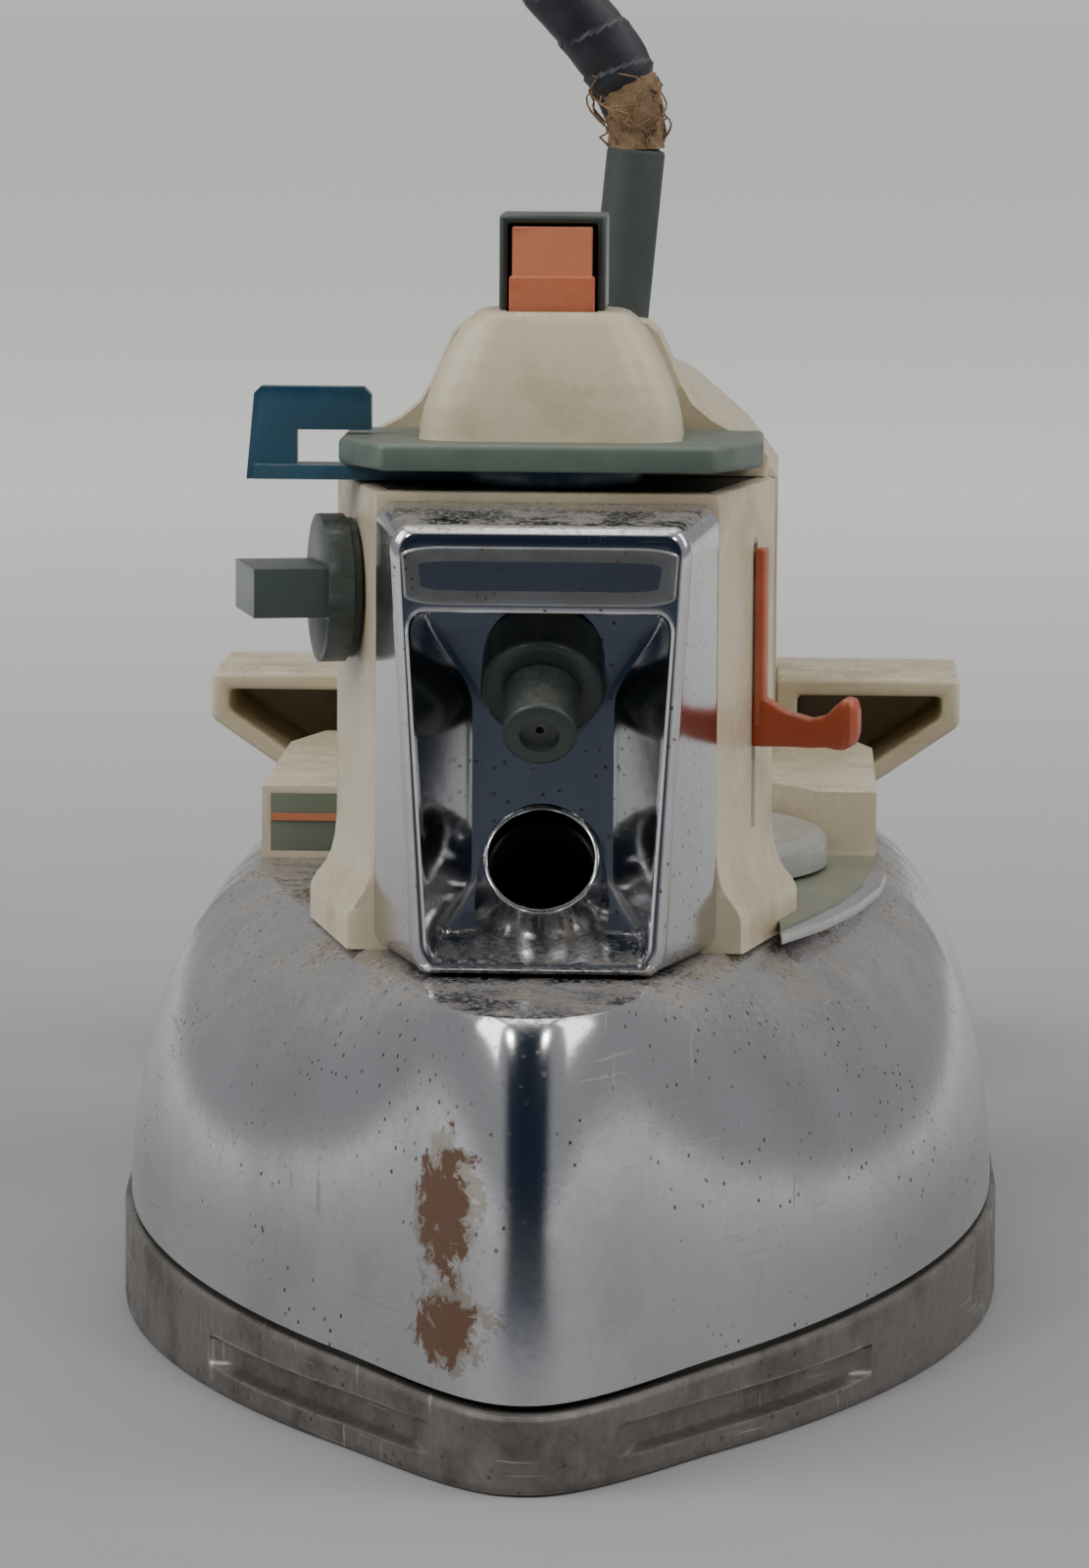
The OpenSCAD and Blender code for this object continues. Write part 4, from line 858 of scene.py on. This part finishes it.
# %% Soleplate
def sole_shape(u, v):
    x0, y0 = edge_point(u, 0)
    top = sole_top(y0)
    groove = 2.0 * ease((y0 - 8) / 3) * ease((53 - y0) / 3)
    inset, z = steps(v, (0, 2.4, 0.0), (0.08, 0.5, 0.0), (0.14, 0.12, 0.25), (0.2, 0.0, 0.9), (0.34, 0.0, 2.8),
                     (0.37, groove, 3.2), (0.52, groove, 6.2), (0.56, 0.0, 6.7), (0.74, 0.0, top - 0.8),
                     (0.80, 0.15, top - 0.25), (0.86, 0.6, top), (1, 6.0, top))
    x, y = edge_point(u, inset)
    return x, y, z


bm = bmesh.new()
skin(bm, sole_shape, 260, 50)
sole = dress(bm, "sole_band", "soleplate", sharp=40)
vents = [(s * (6 + 1.6 * i), 48 + 16 * i) for s in (-1, 1) for i in range(4)] + [(0, 36)]
cut(sole, [rod_solid(1.6, -1, 5, Matrix.Translation(at(x, y, 0))) for x, y in vents])


# %% [markdown]
# The hull is deep drawn from one sheet, so its side is one smooth bulge from the seam up to a flat deck.
# It is a real wall here too: the skin runs up the outside, over the deck to the opening under the handle,
# and back down the inside.

# %% Chrome hull
BULGE = math.radians(78)


def hull_shape(u, v):
    def side(inset, arc, top):
        bx, by = edge_point(u, 0.8 + inset)
        dx, dy = deck_point(u)
        dx, dy = dx - math.copysign(inset, dx) * 0.9 * (abs(dx) > 2), dy + inset * (1 if dy < 60 else -1)
        rise, run = math.sin(arc) / math.sin(BULGE), (1 - math.cos(arc)) / (1 - math.cos(BULGE))
        low = sole_top(by) + 0.8
        return mix(bx, dx, run), mix(by, dy, run), low + (top - low) * rise
    if v < 0.42:
        return side(0, BULGE * v / 0.42, DECK_Z)
    if v < 0.56:
        dx, dy = deck_point(u)
        t = (v - 0.42) / 0.14
        ox, oy = dx * 0.62, 50 + (dy - 7.5) * 0.69
        return mix(dx, ox, ease(t)), mix(dy, oy, ease(t)), DECK_Z
    if v < 0.6:
        dx, dy = deck_point(u)
        return dx * 0.62, 50 + (dy - 7.5) * 0.69, DECK_Z - 1
    return side(1.0, BULGE * (1 - v) / 0.4, DECK_Z - 1)


bm = bmesh.new()
skin(bm, hull_shape, 300, 66, fill=False)
finish_mesh(bm, "chrome_hull", "iron", "chrome", MADE["hull_chrome"], ["chrome_shell"], sharp=30)

# %% [markdown]
# The fascia is a chromed moulding in front of the column. Its front is a narrow frame round a deep recess,
# and the recess is waisted: its back wall is narrow in the middle and spreads towards the corners, so the
# two side walls meet it in creases that bend out at top and bottom. A shallow specked band lies above.

# %% Fascia
FRONT, BACK, LOW, TOP = 36.0, 57.8, 52.3, 104.9


def frame_point(u, half, low, high, rounding):
    """A point of a rounded frame whose half width is half(height)."""
    p, q = square(u, rounding)
    z = mix(low, high, (q + 1) / 2)
    return p * half(z), z


def outer_half(z):
    return mix(14.4, 17.4, (z - LOW) / (TOP - LOW))


def mouth_half(z):
    return mix(12.4, 14.9, (z - 54) / 40)


def waist_half(z):
    return 8.4 + 5.6 * ease((z - 82) / 12) + 3.0 * ease((62 - z) / 7)


def fascia_shape(u, v):
    back = frame_point(u, lambda z: 20.0, LOW, TOP, 0.10)
    rim = frame_point(u, outer_half, LOW, TOP - 1, 0.13)
    mouth = frame_point(u, mouth_half, 54.0, 93.9, 0.12)
    deep = frame_point(u, waist_half, 55.6, 93.0, 0.05)

    def shrink(point, t, half=76.0):
        return point[0] * (1 - t / 17), half + (point[1] - half) * (1 - t / 26)

    stops = [(0.0, *back, BACK), (0.06, *back, BACK - 0.4), (0.30, *rim, FRONT + 2.4), (0.33, *rim, FRONT + 1.4),
             (0.36, *shrink(rim, 0.35), FRONT + 0.6), (0.39, *shrink(rim, 0.9), FRONT + 0.12),
             (0.42, *shrink(rim, 1.3), FRONT), (0.52, *shrink(mouth, -0.7), FRONT),
             (0.55, *shrink(mouth, -0.25), FRONT + 0.2), (0.58, *mouth, FRONT + 0.8), (0.84, *deep, 48.4),
             (0.88, *shrink(deep, 0.4), 48.9), (1.0, *shrink(deep, 3), 49.0)]
    x, z, y = steps(v, *stops)
    return x, y, z


bm = bmesh.new()
skin(bm, fascia_shape, 240, 100)
fascia = dress(bm, "fascia_frame", "fascia", sharp=38)
filler = Matrix.Translation(at(0, 46, 64.4)) @ Matrix.Rotation(math.radians(60), 4, "X")
cut(fascia, [rod_solid(6.95, -40, 3, filler)])


def band_shape(u, v):
    x, z = frame_point(u, lambda z: mix(15.3, 15.9, (z - 94) / 8), 94.9, 101.6, 0.3)
    t, y = steps(v, (0, 0.0, FRONT + 0.6), (0.3, 0.0, FRONT - 0.05), (0.5, 0.3, FRONT - 0.2),
                 (0.7, 0.8, FRONT - 0.12), (1, 3, FRONT + 0.1))
    return x * (1 - t / 16), y, 98.2 + (z - 98.2) * (1 - t / 4)


paint = Paint("specked_band", (0.34, 0.35, 0.35), 0.34, metal=0.85)
paint.layer("mottled", Stain=(0.20, 0.17, 0.13, 1), Scale=90.0, Amount=0.5)
paint.over(paint.use("pitted", Scale=900.0, Amount=1.0)["Mask"], (0.10, 0.075, 0.05))
paint.done((700, 0.15))
bm = bmesh.new()
skin(bm, band_shape, 120, 20)
finish_mesh(bm, "fascia_band", "iron", "chrome", MADE["specked_band"])

# %% [markdown]
# Round things on slanted axes come next: the flared filler mouth, which looks up at 30 degrees so that water
# can be poured in, and the spray nozzle with its dark collar, which looks down at the cloth.

# %% Filler mouth and spray nozzle
profile = [(6.15, -30), (6.15, 0.2)] + rounded(6.45, 0.3, 0.3, 180, 0, 6) + [(6.8, -0.6), (7.0, -2.0), (7.7, -4.2),
           (9.2, -6.4), (9.2, -9), (6.9, -9), (6.9, -30), (6.15, -30)]
dress(lathe(profile, filler, 72), "filler_mouth_lip", "fill_tube", sharp=45)
# painted shade: a near-black glossy lining inside the filler tube and over its floor stands for the dark down the
# deep mouth
plastic("filler_painted_shade", (0.018, 0.017, 0.02), (0.05, 0.04, 0.03), rough=0.28, coat=0.4)
profile = [(0, -27), (6.08, -27), (6.08, -3.2), (6.02, -3.2), (6.02, -26.9), (0, -26.9)]
bm = lathe(profile, filler)
finish_mesh(bm, "filler_shade_lining", "iron", "chrome", MADE["filler_painted_shade"], sharp=45)
spray = Matrix.Translation(at(0, 50, 87.5)) @ Matrix.Rotation(math.radians(122), 4, "X")
profile = ([(3.0, -0.5), (7.1, -0.5), (7.1, 5.6)] + rounded(6.3, 5.8, 0.8, 0, 90)
           + [(3.4, 6.5), (3.0, 6.2), (3.0, -0.5)])
dress(lathe(profile, spray), "nozzle_collar", "spray_nozzle")
profile = ([(0.5, 1), (2.9, 1), (2.9, 6.3), (4.3, 6.7)] + rounded(3.6, 13.9, 0.7, 0, 90)
           + [(2.3, 14.5), (2.1, 13.6), (0.5, 13.4), (0.5, 1)])
dress(lathe(profile, spray), "nozzle_jet", "nozzle_tip")


# %% [markdown]
# The column is a hollow post that spreads over the deck in a smooth foot. It is drawn as one wall, up the
# outside and down the inside, and then the slot for the steam slider and the hole for the knob are cut.

# %% Column
COL = [(-20, 58), (20, 58), (26.4, 85), (26.4, 88), (-26.4, 88), (-26.4, 85)]


def column_point(u, out):
    """A point of the column's plan with rounded corners, moved out by out."""
    corners = [Vector(p) for p in COL]
    walk = [(b - a).length for a, b in zip(corners, corners[1:] + corners[:1])]
    left = (u % 1.0) * sum(walk)
    for k, run in enumerate(walk):
        if left <= run or k == len(walk) - 1:
            a, b = corners[k], corners[(k + 1) % len(corners)]
            point = a.lerp(b, min(left / run, 1))
            way = (b - a).normalized()
            normal = Vector((way.y, -way.x))
            near_a, near_b = ease(left / 1.2), ease((run - left) / 1.2)
            before, after = corners[k - 1], corners[(k + 2) % len(corners)]
            na = (a - before).normalized()
            nb = (after - b).normalized()
            turned_a, turned_b = Vector((na.y, -na.x)) * (1 - near_a), Vector((nb.y, -nb.x)) * (1 - near_b)
            return point + (normal * 2 + turned_a + turned_b).normalized() * out
        left -= run
    return corners[0]


def column_shape(u, v):
    out, z = steps(v, (0, 3.2, 52.0), (0.06, 3.2, 55.6), (0.08, 3.05, 56.4), (0.11, 2.5, 57.3), (0.15, 1.45, 58.6),
                   (0.19, 0.7, 60.2), (0.23, 0.25, 62), (0.28, 0.0, 64.5), (0.47, 0.0, 105.5),
                   (0.49, -0.2, 105.95), (0.51, -0.6, 106.1), (0.55, -2.2, 106.1), (0.57, -2.2, 105),
                   (0.95, -2.2, 53), (0.98, -2.2, 52), (1, 3.2, 52.0))
    spot = column_point(u, out)
    return spot.x, max(spot.y, 58.0) if out > 0 else spot.y, z


bm = bmesh.new()
skin(bm, column_shape, 300, 90, fill=False)
column = dress(bm, "column_wall", "front_column", sharp=38)


def on_flank(side, y, z):
    """The frame on a flank of the column whose -Y points out of the wall."""
    tilt = math.atan2(6.4, 27)
    x = 20 + 6.4 * (y - 58) / 27
    return Matrix.Translation(at(side * x, y, z)) @ Matrix.Rotation(side * (math.pi / 2 - tilt), 4, "Z")


SLIDER_Y = 75.7
knob_hole = on_flank(-1, 73, 93.4) @ Matrix.Rotation(math.pi / 2, 4, "X")
window = box_solid((-14, 57, 54), (14, 61.5, 93.5), Matrix.Translation((0, nose * MM, 0)))
slot = box_solid((-0.95, -3, 64.8), (0.95, 6, 98.9), on_flank(1, SLIDER_Y, 0))
cut(column, [window, slot, rod_solid(2.56, -6, 4, knob_hole)])
for face in column.data.polygons:
    face.use_smooth = True

# %% [markdown]
# The spray button sits in a rounded dome with a pocket for its stroke. The dome's foot flares on to the top
# plate, which is why dirt collects there in a dark line.

# %% Button dome
# each stop: place up the dome, half its width, half its depth, height
DOME = [(0, 15.5, 11.9, 111.8), (0.04, 15.4, 11.8, 112.3), (0.10, 15.25, 11.6, 113.6), (0.18, 14.8, 11.3, 115.8),
        (0.28, 13.9, 10.8, 118.5), (0.38, 12.8, 10.2, 121.0), (0.47, 11.7, 9.6, 123.1), (0.54, 10.8, 9.1, 124.6),
        (0.60, 9.9, 8.7, 125.7), (0.66, 9.0, 8.3, 126.4), (0.71, 8.2, 7.9, 126.7), (0.76, 7.4, 7.5, 126.8),
        (0.84, 5.35, 6.9, 126.8), (0.86, 5.3, 6.75, 126.5), (1.0, 5.3, 6.7, 118.8)]


def dome_shape(u, v):
    p, q = square(u, 0.42)
    half_x, half_y, z = steps(v, *DOME)
    if v > 0.78:
        t = ease((v - 0.78) / 0.06)
        ps, qs = square(u, 0.05)
        p, q = mix(p, ps, t), mix(q, qs, t)
    return p * half_x, 72 + q * half_y - (0.3 if v > 0.8 else 0), z


bm = bmesh.new()
skin(bm, dome_shape, 160, 80)
dress(bm, "dome_cover", "button_dome", sharp=45)


# %% [markdown]
# The handle is one moulding: a head that sweeps up from the column's full width into the narrow grip, the
# grip itself, and a fillet where it meets the rear post. The grip's section is a soft rounded box, which is
# what a palm wants, and it falls slightly towards the back.

# %% Handle
def grip_top(y):
    return 126.5 - 0.0635 * (y - 70) - 3.6


def grip_shape(u, v):
    y = steps(v, (0, 88.0), (0.3, 108.0), (0.72, 156.0), (1, 174.0))[0]
    front, rear = 1 - ease((y - 88) / 17), ease((y - 158) / 16)
    a = math.tau * u
    bend = mix(2 / 3, 0.5, max(front, rear) * 0.6)
    c, s = math.cos(a), math.sin(a)
    half = 13.5 + 2.0 * rear ** 2
    high, low = grip_top(y), grip_top(y) - 25 - 5 * front ** 2 - 9 * rear ** 2
    x = half * math.copysign(abs(c) ** bend, c)
    z = (high + low) / 2 + (high - low) / 2 * math.copysign(abs(s) ** bend, s)
    return x, y, z


bm = bmesh.new()
skin(bm, grip_shape, 96, 90)
dress(bm, "grip", "handle_grip", sharp=50)


def head_edge(t):
    """Half of the head's outline from its foot, t = 0, to the middle of its top, t = 1."""
    if t < 0.72:
        return steps(t / 0.72, (0, 25.4, 106.1), (0.08, 25.8, 109.0), (0.22, 22.6, 111.1),
                     (0.38, 19.2, 112.8), (0.54, 16.7, 114.9), (0.68, 15.0, 117.7), (0.82, 13.6, 121.0),
                     (0.93, 12.4, 123.6), (1, 11, 124.8))
    s = (t - 0.72) / 0.28
    return mix(11, 0, s), 124.8 + 0.6 * math.sin(s * math.pi / 2) + 0.4 * s


def head_shape(u, v):
    if u < 0.8:
        w = u / 0.8
        x, z = head_edge(w * 2 if w < 0.5 else (1 - w) * 2)
        x = x if w < 0.5 else -x
    else:
        x, z = mix(-25.4, 25.4, (u - 0.8) / 0.2), 106.1
    inset, y = steps(v, (0, 0.5, 84.0), (0.1, 0.12, 84.2), (0.2, 0.0, 84.7), (0.8, 0.0, 90.3),
                     (0.9, 0.3, 90.8), (1, 0.8, 91.0))
    return x * (1 - inset / 22), y, 114 + (z - 114) * (1 - inset / 22)


bm = bmesh.new()
skin(bm, head_shape, 200, 24)
finish_mesh(bm, "handle_head", "iron", "cream_plastic", MADE["cream_plastic"], sharp=38)

# %% [markdown]
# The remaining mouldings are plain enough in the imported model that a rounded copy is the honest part: each
# sharp edge gets the small radius that its mould had.

# %% Rounded copies of the plainer mouldings
ROUNDED = [("rear_post", 2.2, 5), ("rear_block", 0.7, 3), ("heel_rest", 0.8, 3), ("rear_cover", 0.6, 3),
           ("top_plate", 0.7, 3), ("button_guard", 0.35, 2), ("spray_button", 0.8, 4), ("selector_lever", 0.55, 3),
           ("flow_knob", 0.5, 3), ("saddle_plate", 0.3, 2), ("index_label", 0.15, 2),
           ("cord_clamp", 0.3, 2), ("terminal_block", 0.4, 2)]
for node, width, segments in ROUNDED:
    moulded(node, width, segments)

# %% [markdown]
# The steam slider is one orange moulding seen in three places: a strip inside the slot, a rail that stands
# proud of the wall and covers the slot's upper end, and the arm with a round thumb piece that one pushes.

# %% Steam slider
for name, low, high, width, segments in (("slider_strip", (-0.6, 0.15, 74.5), (0.6, 2.7, 94.6), 0.2, 2),
                                         ("slider_rail", (-1.1, -1.5, 77.0), (1.1, -0.12, 98.4), 0.4, 3)):
    bm = box_solid(low, high, on_flank(1, SLIDER_Y, 0))
    round_off(bm, width, segments)
    finish_mesh(bm, name, "steam_slide", "orange_plastic", MADE["orange_plastic"])


def thumb_shape(u, v):
    """The slider's arm in the flank's own frame: a deep root, a thin waist and a round thumb piece."""
    p, q = square(u, 0.35)
    half_w, half_h = steps(v, (0, 0.5, 2.6), (0.04, 0.72, 3.1), (0.2, 0.75, 3.1), (0.3, 1.3, 2.9),
                           (0.45, 1.35, 2.1), (0.6, 1.35, 1.75), (0.72, 1.5, 1.9), (0.8, 2.0, 2.6),
                           (0.88, 2.2, 3.1), (0.96, 2.0, 2.7), (1, 1.1, 1.5))
    y, z = steps(v, (0, 2.9, 0), (0.2, 0.2, 0), (0.3, -1.6, -0.2), (0.45, -4.2, -0.9), (0.6, -7.2, -1.3),
                 (0.72, -9.0, -1.0), (0.8, -10.2, -0.5), (0.88, -11.4, 0), (0.96, -12.4, 0.2),
                 (1, -12.9, 0.2))
    return p * half_w, y, z + q * half_h


bm = bmesh.new()
skin(bm, thumb_shape, 48, 60)
moved = on_flank(1, SLIDER_Y, 77.7) @ Matrix.Translation(-at(0, 0, 0))
bmesh.ops.transform(bm, matrix=moved, verts=bm.verts)
dress(bm, "steam_slider_made", "steam_slider", sharp=50)
